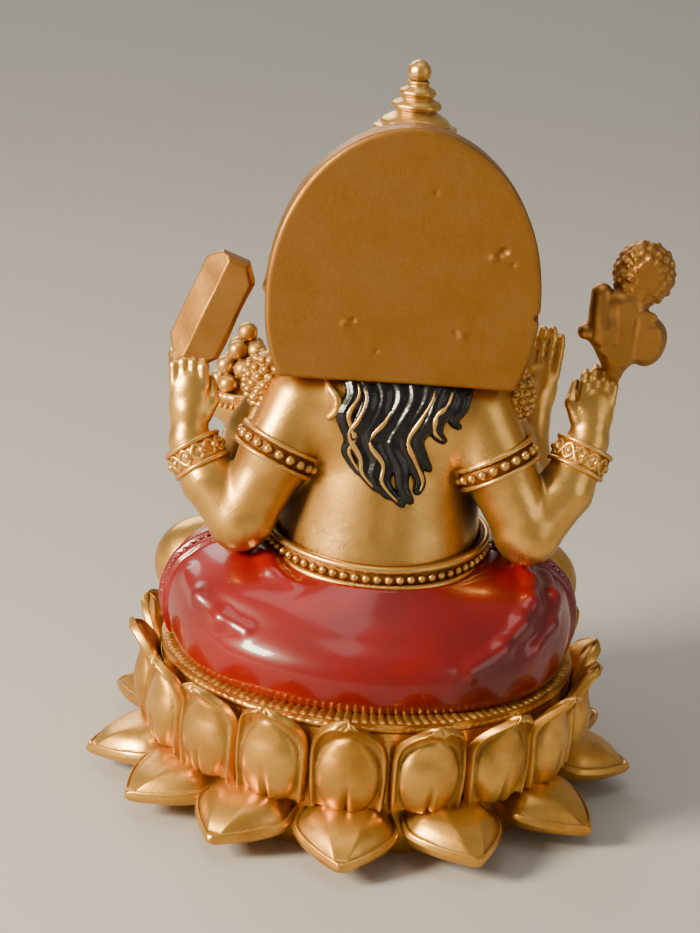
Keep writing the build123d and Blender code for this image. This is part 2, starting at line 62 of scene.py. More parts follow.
camera = bpy.data.objects.new("camera", bpy.data.cameras.new("camera"))
bpy.context.scene.collection.objects.link(camera)
camera.data.lens = camera_lens
camera.data.clip_start = 0.01
look = (camera_aim - camera_spot).to_track_quat("-Z", "Y").to_matrix().to_4x4()
camera.matrix_world = Matrix.Translation(camera_spot) @ look @ Matrix.Rotation(camera_roll, 4, "Z")
bpy.context.scene.camera = camera


def lamp(name, spot, aim, width, watts, tint):
    """A square softbox."""
    light = bpy.data.lights.new(name, "AREA")
    light.size = width
    light.energy = watts
    light.color = tint
    holder = bpy.data.objects.new(name, light)
    bpy.context.scene.collection.objects.link(holder)
    spot = Vector(spot)
    turn = (Vector(aim) - spot).to_track_quat("-Z", "Y").to_matrix().to_4x4()
    holder.matrix_world = Matrix.Translation(spot) @ turn


lamp("window_left", (0.66, 0.36, 0.40), (0, 0, 0.07), 0.22, 19.0, (1.0, 0.87, 0.66))
lamp("fill_right", (-0.7, 0.45, 0.30), (0, 0, 0.07), 0.5, 1.1, (1.0, 0.93, 0.86))
lamp("overhead", (0.1, 0.1, 0.9), (0, 0, 0.05), 0.5, 1.8, (1.0, 0.96, 0.9))
lamp("front_fill", (0.7, -2.2, 1.3), (0, 0, 0.07), 1.5, 30.0, (1.0, 0.95, 0.88))

room_tone = (0.30, 0.285, 0.26)
weld_gap = 0.000005
world = bpy.data.worlds.new("room")
bpy.context.scene.world = world
world.use_nodes = True
world.node_tree.nodes["Background"].inputs["Color"].default_value = (*room_tone, 1)
world.node_tree.nodes["Background"].inputs["Strength"].default_value = 1.0


def add_mesh(name, points, faces, paint):
    """A smooth mesh object from points in millimetres, with its normals turned outwards."""
    mesh = bpy.data.meshes.new(name)
    mesh.from_pydata([tuple(point) for point in np.asarray(points) * MM], [], faces)
    shell = bmesh.new()
    shell.from_mesh(mesh)
    bmesh.ops.remove_doubles(shell, verts=shell.verts, dist=weld_gap)
    bmesh.ops.recalc_face_normals(shell, faces=shell.faces)
    shell.to_mesh(mesh)
    shell.free()
    for face in mesh.polygons:
        face.use_smooth = True
    mesh.materials.append(paint)
    piece = bpy.data.objects.new(name, mesh)
    bpy.context.scene.collection.objects.link(piece)
    return piece


class Wire:
    """A shader socket that can be added, multiplied and so on like a number."""

    def __init__(self, paint, socket):
        self.paint = paint
        self.socket = socket

    def math(self, operation, other, swapped=False):
        first, second = (other, self) if swapped else (self, other)
        return self.paint.node("Math", {"operation": operation}, {0: first, 1: second})

    def __add__(self, other):
        return self.math("ADD", other)

    __radd__ = __add__

    def __mul__(self, other):
        return self.math("MULTIPLY", other)

    __rmul__ = __mul__

    def __sub__(self, other):
        return self.math("SUBTRACT", other)

    def __rsub__(self, other):
        return self.math("SUBTRACT", other, swapped=True)


class Paint:
    """A coat of paint: a Principled shader with nodes in front of it."""

    def __init__(self, name):
        self.material = bpy.data.materials.new(name)
        self.material.use_nodes = True
        self.tree = self.material.node_tree
        self.shader = self.tree.nodes["Principled BSDF"]
        self.place = self.node("TexCoord", {}, {}, "Object")

    def plug(self, socket, value):
        """Puts a wire or a constant into a socket."""
        if isinstance(value, Wire):
            self.tree.links.new(value.socket, socket)
        elif isinstance(value, tuple) and len(value) == 3 and socket.type == "RGBA":
            socket.default_value = (*value, 1)
        else:
            socket.default_value = value

    def node(self, kind, settings, values, output=0):
        """Any node: its settings first, then its sockets; returns one of its outputs."""
        made = self.tree.nodes.new("ShaderNode" + kind)
        for key, value in settings.items():
            setattr(made, key, value)
        for key, value in values.items():
            self.plug(made.inputs[key], value)
        return Wire(self, made.outputs[output])

    def noise(self, scale, detail=2.0, rough=0.5):
        """Cloudy variation from 0 to 1; scale is in waves per metre."""
        values = {"Vector": self.place, "Scale": scale, "Detail": detail, "Roughness": rough}
        return self.node("TexNoise", {}, values)

    def ramp(self, value, low, high):
        """0 up to low, 1 from high, and straight between them."""
        values = {"Value": value, "From Min": low, "From Max": high}
        return self.node("MapRange", {"clamp": True}, values)

    def mix(self, share, first, second):
        """One colour over another."""
        return self.node("Mix", {"data_type": "RGBA"}, {0: share, 6: first, 7: second}, 2)

    def shelter(self, reach):
        """1 in the open, less in hollows narrower than about this many millimetres."""
        settings = {"samples": 6, "only_local": True}
        return self.node("AmbientOcclusion", settings, {"Distance": reach * MM}, "AO")

    def bump(self, height, depth):
        """Fine relief; depth is in millimetres."""
        values = {"Height": height, "Distance": depth * MM, "Strength": 1.0}
        self.plug(self.shader.inputs["Normal"], self.node("Bump", {}, values))

    def set(self, **values):
        """Fills the shader's own sockets, with _ for a space in their names."""
        for key, value in values.items():
            self.plug(self.shader.inputs[key.replace("_", " ")], value)
        return self.material


# Away from the idol the floor fades into the room's own tone, so that no horizon shows
floor_paint = Paint("pale_floor")
far = floor_paint.node("VectorMath", {"operation": "LENGTH"}, {0: floor_paint.place}, "Value")
far = floor_paint.ramp(far, 0.5, 1.9)
near_tone = floor_paint.mix(floor_paint.noise(9), (0.44, 0.42, 0.39), (0.47, 0.45, 0.42))
floor_paint.set(
    Base_Color=floor_paint.mix(far, near_tone, (0, 0, 0)),
    Emission_Color=floor_paint.mix(far, (0, 0, 0), room_tone),
    Emission_Strength=1.0,
    Roughness=0.9,
    Specular_IOR_Level=0.0,
)
floor_half = 40000
floor_corners = [(x * floor_half, y * floor_half, 0) for x, y in ((-1, -1), (1, -1), (1, 1), (-1, 1))]
floor = add_mesh("floor", floor_corners, [(0, 1, 2, 3)], floor_paint.material)


# ------------------------------------------------------------------ gold paint
# Metallic gold brushed over the whole casting, then a thin brown wash that stays in the hollows.
# The brown in the hollows is partly that real wash and partly painted shade.
# Each part of the idol has its own shade of it.
wash_and_shade = (0.055, 0.016, 0.004)


def gold_paint(name, bright, deep, hollow=1.6, rough=0.3, wash_and_shade_share=0.85, grain=0.035):
    """Gold bright on crests, deeper in patches, brown in hollows: part real wash, part painted shade."""
    paint = Paint(name)
    patches = paint.ramp(paint.noise(95, 4.0, 0.6), 0.36, 0.68)
    brushed = paint.noise(900, 3.0, 0.65)
    # How far a point lies in a hollow; it browns the colour there, as real wash and as painted shade.
    sheltered = 1 - paint.ramp(paint.shelter(hollow) + 0.16 * (brushed - 0.5), 0.42, 0.92)
    colour = paint.mix(patches, bright, deep)
    colour = paint.mix(sheltered * wash_and_shade_share, colour, wash_and_shade)
    speck = paint.ramp(paint.noise(2300, 1.0), 0.7, 0.78)
    colour = paint.mix(speck * 0.35, colour, wash_and_shade)
    paint.bump(brushed + 0.6 * paint.noise(260, 3.0), grain)
    return paint.set(
        Base_Color=colour,
        Metallic=0.92 - 0.55 * sheltered,
        Roughness=rough + 0.16 * patches + 0.12 * (brushed - 0.5) + 0.25 * sheltered,
        Specular_IOR_Level=0.5,
    )


lotus_gold = gold_paint("lotus_gold", (0.74, 0.40, 0.085), (0.48, 0.225, 0.035), 2.6)
# The skin's wide reach spreads the brown as broad painted shade under the arms and in the elbows.
skin_gold = gold_paint("skin_gold", (0.74, 0.41, 0.10), (0.52, 0.26, 0.05), 6.0, 0.27, 0.9)
trim_gold = gold_paint("trim_gold", (0.80, 0.47, 0.13), (0.56, 0.29, 0.06), 0.9, 0.28, 0.95)
# A darker copy of the gold for the held axe and spray: painted shade, as their backs face from the lamp.
painted_shade_gold = gold_paint("painted_shade_gold", (0.44, 0.21, 0.05), (0.34, 0.15, 0.03), 2.0, 0.36, 0.85)


# ------------------------------------------------------------------ pedestal core
# The drum and foot are one plain casting that the petals hide almost wholly. The CAD solids stay
# and take the lotus gold. A band of stamens is pressed into the seed head's rim, round the dhoti.
for node in ("lotus_base", "seed_head"):
    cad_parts[node].data.materials.clear()
    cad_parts[node].data.materials.append(lotus_gold)

seat_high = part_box("seed_head")[1]
seat_top = seat_high[2] / MM
seat_radius = seat_high[0] / MM


def settle(piece, slot, *nodes):
    """Puts a piece on the one body, in place of these CAD nodes; slot is not used."""
    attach(piece, "root")
    if nodes:
        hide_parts(*nodes)
    return piece


def band_faces(rows, steps, joined=True, closed=True):
    """Quads between rows of points; joined links the last row to the first, closed each row's ends."""
    faces = []
    for row in range(rows if joined else rows - 1):
        here, there = row * steps, (row + 1) % rows * steps
        for step in range(steps if closed else steps - 1):
            after = (step + 1) % steps
            faces.append((here + step, here + after, there + after, there + step))
    return faces


stamen_count = 150
stamen_steps = 6
stamen_start = 33.0
rng = np.random.default_rng(7)
stamen_lift = rng.uniform(0.0, 0.45, (stamen_count + 1, 14))
stamen_profile = [(stamen_start, seat_top - 1.6), (stamen_start, seat_top - 0.2)]
stamen_profile += [(stamen_start + 1 + 0.9 * step, seat_top + 0.1 - 0.03 * step) for step in range(10)]
stamen_profile += [(seat_radius + 0.3, seat_top - 0.9), (seat_radius + 0.1, seat_top - 1.8)]
# Each stamen is a little ridge, broken across into beads of uneven height
points = []
for turn in range(stamen_count * stamen_steps):
    angle = 2 * math.pi * turn / (stamen_count * stamen_steps)
    ridge = math.sin(math.pi * (turn % stamen_steps) / stamen_steps) ** 0.8
    for step, (radius, z) in enumerate(stamen_profile):
        up = 0
        if 2 <= step <= 11:
            up = ridge * (0.25 + stamen_lift[turn // stamen_steps][step])
        points.append((radius * math.cos(angle), radius * math.sin(angle), z + up))
faces = band_faces(stamen_count * stamen_steps, len(stamen_profile))
settle(add_mesh("stamen_band", points, faces, lotus_gold), "lotus_gold")


# ------------------------------------------------------------------ spreading petals
# Thirteen puffed petals, cast one by one and bonded round the foot. Each has a thin rolled rim, a
# groove inside the rim and a cushion in the middle with a short crease at its root.
petal_reach = 58.0
petal_root = 40.0
petal_half = 10.4
lower_turns = [-5, 22, 52.5, 85.5, 111, 138, 165, -168, -140.5, -113.5, -80, -56, -31.5]
across_steps = 40
along_steps = 44


def lower_outline(t):
    """Half the width of a spreading petal, t of the way from root to tip."""
    if t < 0.34:
        return petal_half * (0.86 + 0.14 * math.sin(math.pi * t / 0.68))
    fall = (t - 0.34) / 0.66
    return petal_half * max(0.0, 1 - fall**1.55) ** 0.92


def petal_skin(name, points, stand):
    """A petal's closed skin from its rows of front and back points, each set up by stand(x, y, z)."""
    wide = across_steps + 1
    faces = []
    for index in range(along_steps):
        here = index * 2 * wide
        there = here + 2 * wide
        for step in range(across_steps):
            faces.append((here + step, here + step + 1, there + step + 1, there + step))
            low = wide + step
            faces.append((here + low, there + low, there + low + 1, here + low + 1))
        for side in (0, across_steps):
            faces.append((here + side, there + side, there + wide + side, here + wide + side))
    faces.append([*range(wide), *reversed(range(wide, 2 * wide))])
    return add_mesh(name, [stand(*point) for point in points], faces, lotus_gold)


def lower_petal(name, turn, seed):
    """One spreading petal, pointing this many degrees from the back."""
    uneven = np.random.default_rng(seed)
    lean = uneven.uniform(-0.6, 0.6)
    plump = uneven.uniform(4.4, 5.4)
    tip_z = uneven.uniform(4.2, 5.6)
    angle = math.radians(90 + turn)
    span = petal_reach - petal_root
    points = []
    for index in range(along_steps + 1):
        t = index / along_steps
        half = lower_outline(t)
        top = []
        under = []
        for step in range(across_steps + 1):
            s = math.sin((2 * step / across_steps - 1) * math.pi / 2)
            edge = min((1 - abs(s)) * max(half, 0.01), (1 - t) * span * 0.72)
            sheet = 7.4 - (7.4 - tip_z) * t**1.3
            rim = 0.75 * math.exp(-(((edge - 0.55) / 0.42) ** 2))
            cushion = plump * (1 - math.exp(-max(edge - 1.15, 0) / 2.3)) * (1 - 0.25 * t)
            crease = 1.0 * math.exp(-((s * half / 0.4) ** 2)) * max(0.0, 1 - t / 0.5)
            rounding = 0.7 * (1 - math.exp(-edge / 0.35))
            z = sheet + rim + cushion - crease + rounding
            belly = 1.2 * (1 - math.exp(-edge / 0.5)) + 4.2 * (1 - t) * (1 - math.exp(-edge / 3))
            x = petal_root + span * t
            y = s * half + lean * t * t
            top.append((x, y, z))
            under.append((x, y, sheet - belly))
        points += top + under

    def stand(x, y, z):
        return x * math.cos(angle) - y * math.sin(angle), x * math.sin(angle) + y * math.cos(angle), z

    return petal_skin(name, points, stand)


for number, turn in enumerate(lower_turns):
    petal = lower_petal(f"spreading_petal_{number + 1:02d}", turn, 20 + number)
    settle(petal, "lotus_gold", f"lower_petal_{number + 1:02d}")


# ------------------------------------------------------------------ upright petals
# Eighteen petals stand round the drum, edge to edge. Each swells into a cushion inside a raised
# rim, has a crease at its foot, and curls outwards in a ragged lip above the seat.
upper_turns = [20 * number - 5.5 for number in range(18)]
upper_half = 7.9
upper_low = 12.0
drum_radius = 43.0


def upper_petal(name, turn, seed):
    """One upright petal, standing this many degrees from the back."""
    uneven = np.random.default_rng(seed)
    crest = uneven.uniform(18.6, 20.4)
    curl = uneven.uniform(0.7, 1.25)
    skew = uneven.uniform(-0.9, 0.9)
    frill = uneven.uniform(0, 6.28)
    angle = math.radians(90 + turn)
    points = []
    for index in range(along_steps + 1):
        t = index / along_steps
        if t < 0.5:
            half = upper_half * (0.95 + 0.05 * math.sin(math.pi * t))
        else:
            half = upper_half * max(0.0, 1 - ((t - 0.5) / 0.5) ** 2.4) ** 0.6
        outer = []
        inner = []
        for step in range(across_steps + 1):
            s = math.sin((2 * step / across_steps - 1) * math.pi / 2)
            edge = min((1 - abs(s)) * max(half, 0.01), (1 - t) * crest * 0.9 + 0.02)
            lip = curl * 4.6 * max(0.0, (t - 0.58) / 0.42) ** 1.6
            wall = drum_radius + 1.3 + 0.5 * math.sin(math.pi * min(t / 0.7, 1)) + lip
            rim = 1.15 * math.exp(-(((edge - 0.8) / 0.5) ** 2))
            oval = 1 - (s / 0.80) ** 2 - ((t - 0.36) / 0.45) ** 2
            cushion = 2.9 * max(0.0, oval) ** 0.55 * min(1.0, edge / 1.6)
            crease = 1.5 * math.exp(-((s * half / 0.42) ** 2)) * max(0.0, 1 - t / 0.42)
            ragged = 0.9 * math.sin(4.4 * s + frill) * max(0.0, t - 0.55)
            ragged += 0.5 * math.sin(11 * s + 2 * frill) * max(0.0, t - 0.6)
            round_off = 0.7 * (1 - math.exp(-edge / 0.3))
            z = upper_low - 0.6 + crest * t + ragged
            sideways = s * half + skew * t * t
            outer.append((wall + rim + cushion - crease + round_off, sideways, z - 0.35 * rim * t))
            behind = wall - 1.1 * (1 - math.exp(-edge / 0.3))
            inner.append((max(behind, drum_radius - 2.2), sideways, z - 0.5 * t))
        points += outer + inner

    def stand(x, y, z):
        spread = angle + y / (drum_radius + 3)
        return x * math.cos(spread), x * math.sin(spread), z

    return petal_skin(name, points, stand)


for number, turn in enumerate(upper_turns):
    petal = upper_petal(f"upright_petal_{number + 1:02d}", turn, 60 + number)
    settle(petal, "lotus_gold", f"upper_petal_{number + 1:02d}")


# ------------------------------------------------------------------ dhoti
# The clay that every soft form of the figure is modelled in: a field of distances to the surface,
# in millimetres, that lumps are pressed onto or cut out of. The dhoti is the first: hips and thighs
# under a cloth that is drawn tight over the knees, with a few soft folds and a beaded hem.
class Clay:
    """A block of modelling clay between two corners; voxel is its finest detail."""

    clear = 4.0
    longest_look = 90
    look_step = 0.1

    def __init__(self, low, high, voxel):
        self.low = np.array(low, float)
        self.voxel = voxel
        self.count = np.ceil((np.array(high, float) - self.low) / voxel).astype(int) + 1
        self.field = np.full(self.count, self.clear, np.float32)

    def part(self, low, high):
        """The slices and coordinates of the stretch between two corners."""
        first = np.clip(np.floor((np.array(low) - self.low) / self.voxel).astype(int), 0, self.count)
        last = np.clip(np.ceil((np.array(high) - self.low) / self.voxel).astype(int) + 1, 0, self.count)
        cut = tuple(slice(a, b) for a, b in zip(first, last))
        steps = [
            (self.low[i] + self.voxel * np.arange(first[i], last[i])).astype(np.float32)
            for i in range(3)
        ]
        return cut, steps[0][:, None, None], steps[1][None, :, None], steps[2][None, None, :]

    def press(self, shape, low, high, soft=1.0, cut_out=False):
        """Adds a lump, or cuts it out, with a fillet of about this radius."""
        where, x, y, z = self.part(low, high)
        new = shape(x, y, z)
        old = self.field[where]
        if cut_out:
            old = -old
        share = np.clip(0.5 + 0.5 * (new - old) / soft, 0, 1)
        both = new * (1 - share) + old * share - soft * share * (1 - share)
        self.field[where] = -both if cut_out else both

    def ball(self, centre, radii, soft=1.0, cut_out=False, turn=None):
        """An ellipsoid; turn is a matrix whose rows are its own axes."""
        centre = np.array(centre, float)
        radii = np.array(radii, float) * np.ones(3)
        reach = radii.max() if turn is not None else radii
        margin = reach + soft + 1.5

        def shape(x, y, z):
            dx, dy, dz = x - centre[0], y - centre[1], z - centre[2]
            if turn is not None:
                dx, dy, dz = (row[0] * dx + row[1] * dy + row[2] * dz for row in turn)
            near = np.sqrt((dx / radii[0]) ** 2 + (dy / radii[1]) ** 2 + (dz / radii[2]) ** 2)
            slope = np.sqrt(
                (dx / radii[0] ** 2) ** 2 + (dy / radii[1] ** 2) ** 2 + (dz / radii[2] ** 2) ** 2
            )
            return near * (near - 1) / np.maximum(slope, 1e-6)

        self.press(shape, centre - margin, centre + margin, soft, cut_out)

    def roll(self, points, radii, soft=1.0, cut_out=False):
        """A rounded roll of clay through these points, of these radii."""
        for start, end, wide, narrow in zip(points, points[1:], radii, radii[1:]):
            start, end = np.array(start, float), np.array(end, float)
            along = end - start
            length = float(along @ along)
            margin = max(wide, narrow) + soft + 1.5

            def shape(x, y, z):
                dx, dy, dz = x - start[0], y - start[1], z - start[2]
                t = np.clip((dx * along[0] + dy * along[1] + dz * along[2]) / length, 0, 1)
                gap = np.sqrt(
                    (dx - t * along[0]) ** 2 + (dy - t * along[1]) ** 2 + (dz - t * along[2]) ** 2
                )
                return gap - (wide + (narrow - wide) * t)

            low = np.minimum(start, end) - margin
            self.press(shape, low, np.maximum(start, end) + margin, soft, cut_out)

    def stack(self, sections, soft):
        """A form through elliptical sections: height, half-widths in X and Y, centre in Y."""
        table = np.array(sections, float)
        slope = np.gradient(table, axis=0)
        place = np.linspace(0, len(table) - 1, 16 * len(table))
        row = np.minimum(place.astype(int), len(table) - 2)
        t = (place - row)[:, None]
        table = (
            (2 * t**3 - 3 * t**2 + 1) * table[row]
            + (t**3 - 2 * t**2 + t) * slope[row]
            + (3 * t**2 - 2 * t**3) * table[row + 1]
            + (t**3 - t**2) * slope[row + 1]
        )
        tall = table[:, 0]

        def shape(x, y, z):
            flat = np.clip(z, tall[0], tall[-1])
            wide, deep, middle = (np.interp(flat, tall, table[:, k]) for k in (1, 2, 3))
            ratio = np.sqrt((x / wide) ** 2 + ((y - middle) / deep) ** 2)
            side = (ratio - 1) * np.minimum(wide, deep)
            ends = np.maximum(tall[0] - z, z - tall[-1])
            return np.maximum(side, ends)

        self.press(shape, self.low, self.low + self.voxel * self.count, soft)

    def plane_cut(self, axis, spot, sign):
        """Keeps the clay on one side of a flat cut: below spot if sign is 1, above if it is -1."""
        steps = self.low[axis] + self.voxel * np.arange(self.count[axis])
        shape = [1, 1, 1]
        shape[axis] = -1
        self.field = np.maximum(self.field, (sign * (steps - spot)).reshape(shape).astype(np.float32))

    def roughen(self, height, wave, seed):
        """Slow waves all over, so that nothing is machine-true."""
        _, x, y, z = self.part(self.low, self.low + self.voxel * self.count)
        a, b, c = np.random.default_rng(seed).uniform(0, 6.28, 3)
        ripple = np.sin(x / wave + a + 0.7 * np.sin(z / wave)) * np.sin(y / wave + b)
        ripple = height * ripple * np.sin(z / wave * 1.2 + c + 0.5 * np.sin(x / wave))
        self.field += ripple.astype(np.float32)

    def skin(self, spot, heading, proud=0.0):
        """Where a line from a spot meets the clay, or the point this far short of it."""
        heading = np.array(heading, float) / np.linalg.norm(heading)
        travel = np.arange(0, self.longest_look, self.look_step)
        line = np.array(spot, float) + travel[:, None] * heading
        cell = np.clip((line - self.low) / self.voxel, 0, self.count - 1.001)
        base = np.floor(cell).astype(int)
        share = cell - base
        depth = 0.0
        for corner in np.ndindex(2, 2, 2):
            weight = np.prod(np.where(corner, share, 1 - share), axis=1)
            depth = depth + weight * self.field[tuple((base + corner).T)]
        return line[np.argmax(depth < 0)] - proud * heading

    def cast(self, name, paint, slot, nodes=()):
        """Turns the clay into a mesh object, in place of these CAD nodes."""
        self.field[[0, -1], :, :] = self.clear
        self.field[:, [0, -1], :] = self.clear
        self.field[:, :, [0, -1]] = self.clear
        grid = openvdb.FloatGrid(self.clear)
        grid.copyFromArray(self.field)
        points, quads = grid.convertToQuads(0.0)
        points = (points * self.voxel + self.low) * MM
        mesh = bpy.data.meshes.new(name)
        mesh.vertices.add(len(points))
        mesh.vertices.foreach_set("co", points.astype(np.float32).ravel())
        mesh.loops.add(4 * len(quads))
        mesh.loops.foreach_set("vertex_index", quads.astype(np.int32)[:, ::-1].ravel())
        mesh.polygons.add(len(quads))
        mesh.polygons.foreach_set("loop_start", np.arange(0, 4 * len(quads), 4, dtype=np.int32))
        mesh.polygons.foreach_set("use_smooth", np.ones(len(quads), bool))
        mesh.update(calc_edges=True)
        mesh.validate()
        corners = points[quads[:, [0, 1, 2]]]
        volume = np.einsum("ij,ij->i", corners[:, 0], np.cross(corners[:, 1], corners[:, 2])).sum()
        if volume > 0:
            mesh.flip_normals()
        mesh.materials.append(paint)
        piece = bpy.data.objects.new(name, mesh)
        bpy.context.scene.collection.objects.link(piece)
        return settle(piece, slot, *nodes)


belt_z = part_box("waist_belt")[0][2] / MM
hip_sections = [
    (seat_top - 0.5, 39.0, 32.5, 5.6),
    (seat_top + 3, 40.6, 34.4, 5.2),
    (seat_top + 9, 40.8, 34.2, 4.6),
    (seat_top + 14, 38.6, 31.0, 3.4),
    (seat_top + 18, 35.0, 28.0, 2.2),
    (belt_z + 0.6, 24.0, 25.0, 1.4),
]

red = Paint("dhoti_red")
red_cloud = red.ramp(red.noise(60, 3.0), 0.35, 0.7)
# Painted shade: the red darkens to a deep maroon in the folds and hollows.
red_painted_shade = 1 - red.ramp(red.shelter(2.4), 0.45, 0.95)
red_tone = red.mix(red_cloud, (0.21, 0.002, 0.001), (0.12, 0.001, 0.001))
red.bump(red.noise(420, 3.0) + 0.3 * red.noise(1500, 2.0), 0.03)
dhoti_red = red.set(
    Base_Color=red.mix(red_painted_shade * 0.8, red_tone, (0.07, 0.004, 0.004)),
    Roughness=0.3 + 0.12 * red_cloud,
    Coat_Weight=0.55,
    Coat_Roughness=0.1,
    Specular_IOR_Level=0.35,
)

dhoti = Clay((-48, -36, 26), (48, 43, 56), 0.42)
dhoti.stack(hip_sections, 0.5)
for side in (1, -1):
    dhoti.ball((side * 28.6 + 0.7, -3.5, 38.5), (13.6, 15.5, 12.6), 6.0)
    dhoti.ball((side * 30 + 0.5, -8, 38), (11.2, 9.0, 10.8), 3.0)
    dhoti.ball((side * 25, 9, 41.5), (13, 15, 9.0), 6.0)

# Soft folds laid on the cloth, as seen from behind and above
from_behind = np.array((-0.05, -0.95, -0.31))
cloth_folds = [
    ([(-29.4, 52.0), (-31.0, 49.3), (-31.2, 45.0), (-29.3, 40.7), (-25.6, 35.5), (-19.4, 31.0)], 1.3),
    ([(-34.4, 50.5), (-36.0, 46.1), (-35.6, 40.7), (-32.5, 35.5)], 1.1),
    ([(38.0, 46.5), (35.0, 42.0), (30.0, 38.0), (25.0, 36.0)], 1.2),
    ([(23.0, 51.5), (21.0, 48.0), (16.5, 46.0)], 1.1),
]
for path, girth in cloth_folds:
    laid = []
    swell = []
    for k, (x, z) in enumerate(path):
        start = np.array((x, 15.0, z)) - 50 * from_behind
        laid.append(dhoti.skin(start, from_behind, -0.55 * girth))
        swell.append(girth * (0.45 + 0.55 * math.sin(math.pi * (k + 0.5) / len(path))))
    dhoti.roll(laid, swell, 2.6)


def hem_path(side, y, proud, steps=40):
    """A line across the knee's back, from under it to its top, lying on the cloth."""
    spots = []
    for step in range(steps):
        turn = math.radians(-40 + 152 * step / (steps - 1))
        outwards = np.array((side * math.cos(turn), 0, math.sin(turn)))
        centre = np.array((side * 30.0, y, 39.0))
        spots.append(dhoti.skin(centre + 30 * outwards, -outwards, proud))
    return spots


hem_beads = {side: hem_path(side, 3.0, 0.3) for side in (1, -1)}
hem_rails = [hem_path(side, y, 0.1) for side in (1, -1) for y in (1.2, 4.8)]
for path in hem_rails:
    dhoti.roll(path, [0.75] * len(path), 0.4)
dhoti.roughen(0.12, 5.0, 3)
dhoti.plane_cut(2, seat_top + 0.05, -1)
dhoti.cast("dhoti_cloth", dhoti_red, "dhoti_red", ["dhoti"])


def string_of_beads(name, path, radius, count, paint, slot):
    """Round beads at even steps along a path, made by a geometry tree and joined in one mesh."""
    curve = bpy.data.curves.new(name + "_path", "CURVE")
    curve.dimensions = "3D"
    spline = curve.splines.new("POLY")
    spline.points.add(len(path) - 1)
    for point, spot in zip(spline.points, path):
        point.co = (*[value * MM for value in spot], 1)
    holder = bpy.data.objects.new(name + "_path", curve)
    bpy.context.scene.collection.objects.link(holder)
    tree = bpy.data.node_groups.new(name, "GeometryNodeTree")
    tree.interface.new_socket("Geometry", in_out="INPUT", socket_type="NodeSocketGeometry")
    size = tree.interface.new_socket("Bead radius", in_out="INPUT", socket_type="NodeSocketFloat")
    number = tree.interface.new_socket("Beads", in_out="INPUT", socket_type="NodeSocketInt")
    tree.interface.new_socket("Geometry", in_out="OUTPUT", socket_type="NodeSocketGeometry")
    start = tree.nodes.new("NodeGroupInput")
    along = tree.nodes.new("GeometryNodeCurveToPoints")
    bead = tree.nodes.new("GeometryNodeMeshIcoSphere")
    place = tree.nodes.new("GeometryNodeInstanceOnPoints")
    real = tree.nodes.new("GeometryNodeRealizeInstances")
    coat = tree.nodes.new("GeometryNodeSetMaterial")
    finish = tree.nodes.new("NodeGroupOutput")
    bead.inputs["Subdivisions"].default_value = 3
    coat.inputs["Material"].default_value = paint
    for source, output, target, socket in (
        (start, "Geometry", along, "Curve"),
        (start, "Beads", along, "Count"),
        (start, "Bead radius", bead, "Radius"),
        (along, "Points", place, "Points"),
        (bead, "Mesh", place, "Instance"),
        (place, "Instances", real, "Geometry"),
        (real, "Geometry", coat, "Geometry"),
        (coat, "Geometry", finish, "Geometry"),
    ):
        tree.links.new(source.outputs[output], target.inputs[socket])
    maker = holder.modifiers.new("beads", "NODES")
    maker.node_group = tree
    maker[size.identifier] = radius * MM
    maker[number.identifier] = count
    bpy.context.view_layer.update()
    shown = holder.evaluated_get(bpy.context.evaluated_depsgraph_get())
    mesh = bpy.data.meshes.new_from_object(shown)
    for face in mesh.polygons:
        face.use_smooth = True
    piece = bpy.data.objects.new(name, mesh)
    bpy.context.scene.collection.objects.link(piece)
    bpy.data.objects.remove(holder)
    return settle(piece, slot)


def tube(name, path, radii, paint, slot, closed=False, sides=10):
    """A round rod along a path of close points, with capped or joined ends."""
    spots = [np.array(point, float) for point in path]
    count = len(spots)
    points = []
    for index, spot in enumerate(spots):
        before = spots[index - 1] if closed or index else spots[0]
        after = spots[(index + 1) % count] if closed or index < count - 1 else spots[-1]
        along = (after - before) / np.linalg.norm(after - before)
        across = np.cross(along, (0.13, 0.21, 0.97))
        across /= np.linalg.norm(across)
        lift = np.cross(across, along)
        radius = radii[index] if hasattr(radii, "__len__") else radii
        for side in range(sides):
            turn = 2 * math.pi * side / sides
            points.append(spot + radius * (math.cos(turn) * across + math.sin(turn) * lift))
    faces = band_faces(count, sides, joined=closed)
    if not closed:
        faces.append(list(range(sides)))
        faces.append([(count - 1) * sides + side for side in range(sides)])
    return settle(add_mesh(name, points, faces, paint), slot)


for side, word in ((1, "left"), (-1, "right")):
    string_of_beads(f"hem_beads_{word}", hem_beads[side], 0.72, 21, dhoti_red, "dhoti_red")


# ------------------------------------------------------------------ belt
# A cast belt of two gold rails with a row of round beads in the channel between them, whose
# dark gold is painted shade.
belt_low, belt_high = (Vector(corner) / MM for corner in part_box("waist_belt"))
belt_middle_y = (belt_low.y + belt_high.y) / 2
belt_wide = (belt_high.x - belt_low.x) / 2 - 1.6
belt_deep = (belt_high.y - belt_low.y) / 2 - 1.6
belt_steps = 200
belt_beads = 66


def belt_loop(grow, z):
    """Points round the waist at this height, this far outside the torso."""
    loop = []
    for step in range(belt_steps):
        angle = 2 * math.pi * step / belt_steps
        dip = -1.0 * max(0.0, math.sin(angle)) ** 2 + 0.5
        x = (belt_wide + grow) * math.cos(angle)
        loop.append((x, belt_middle_y + (belt_deep + grow) * math.sin(angle), z + dip))
    return loop


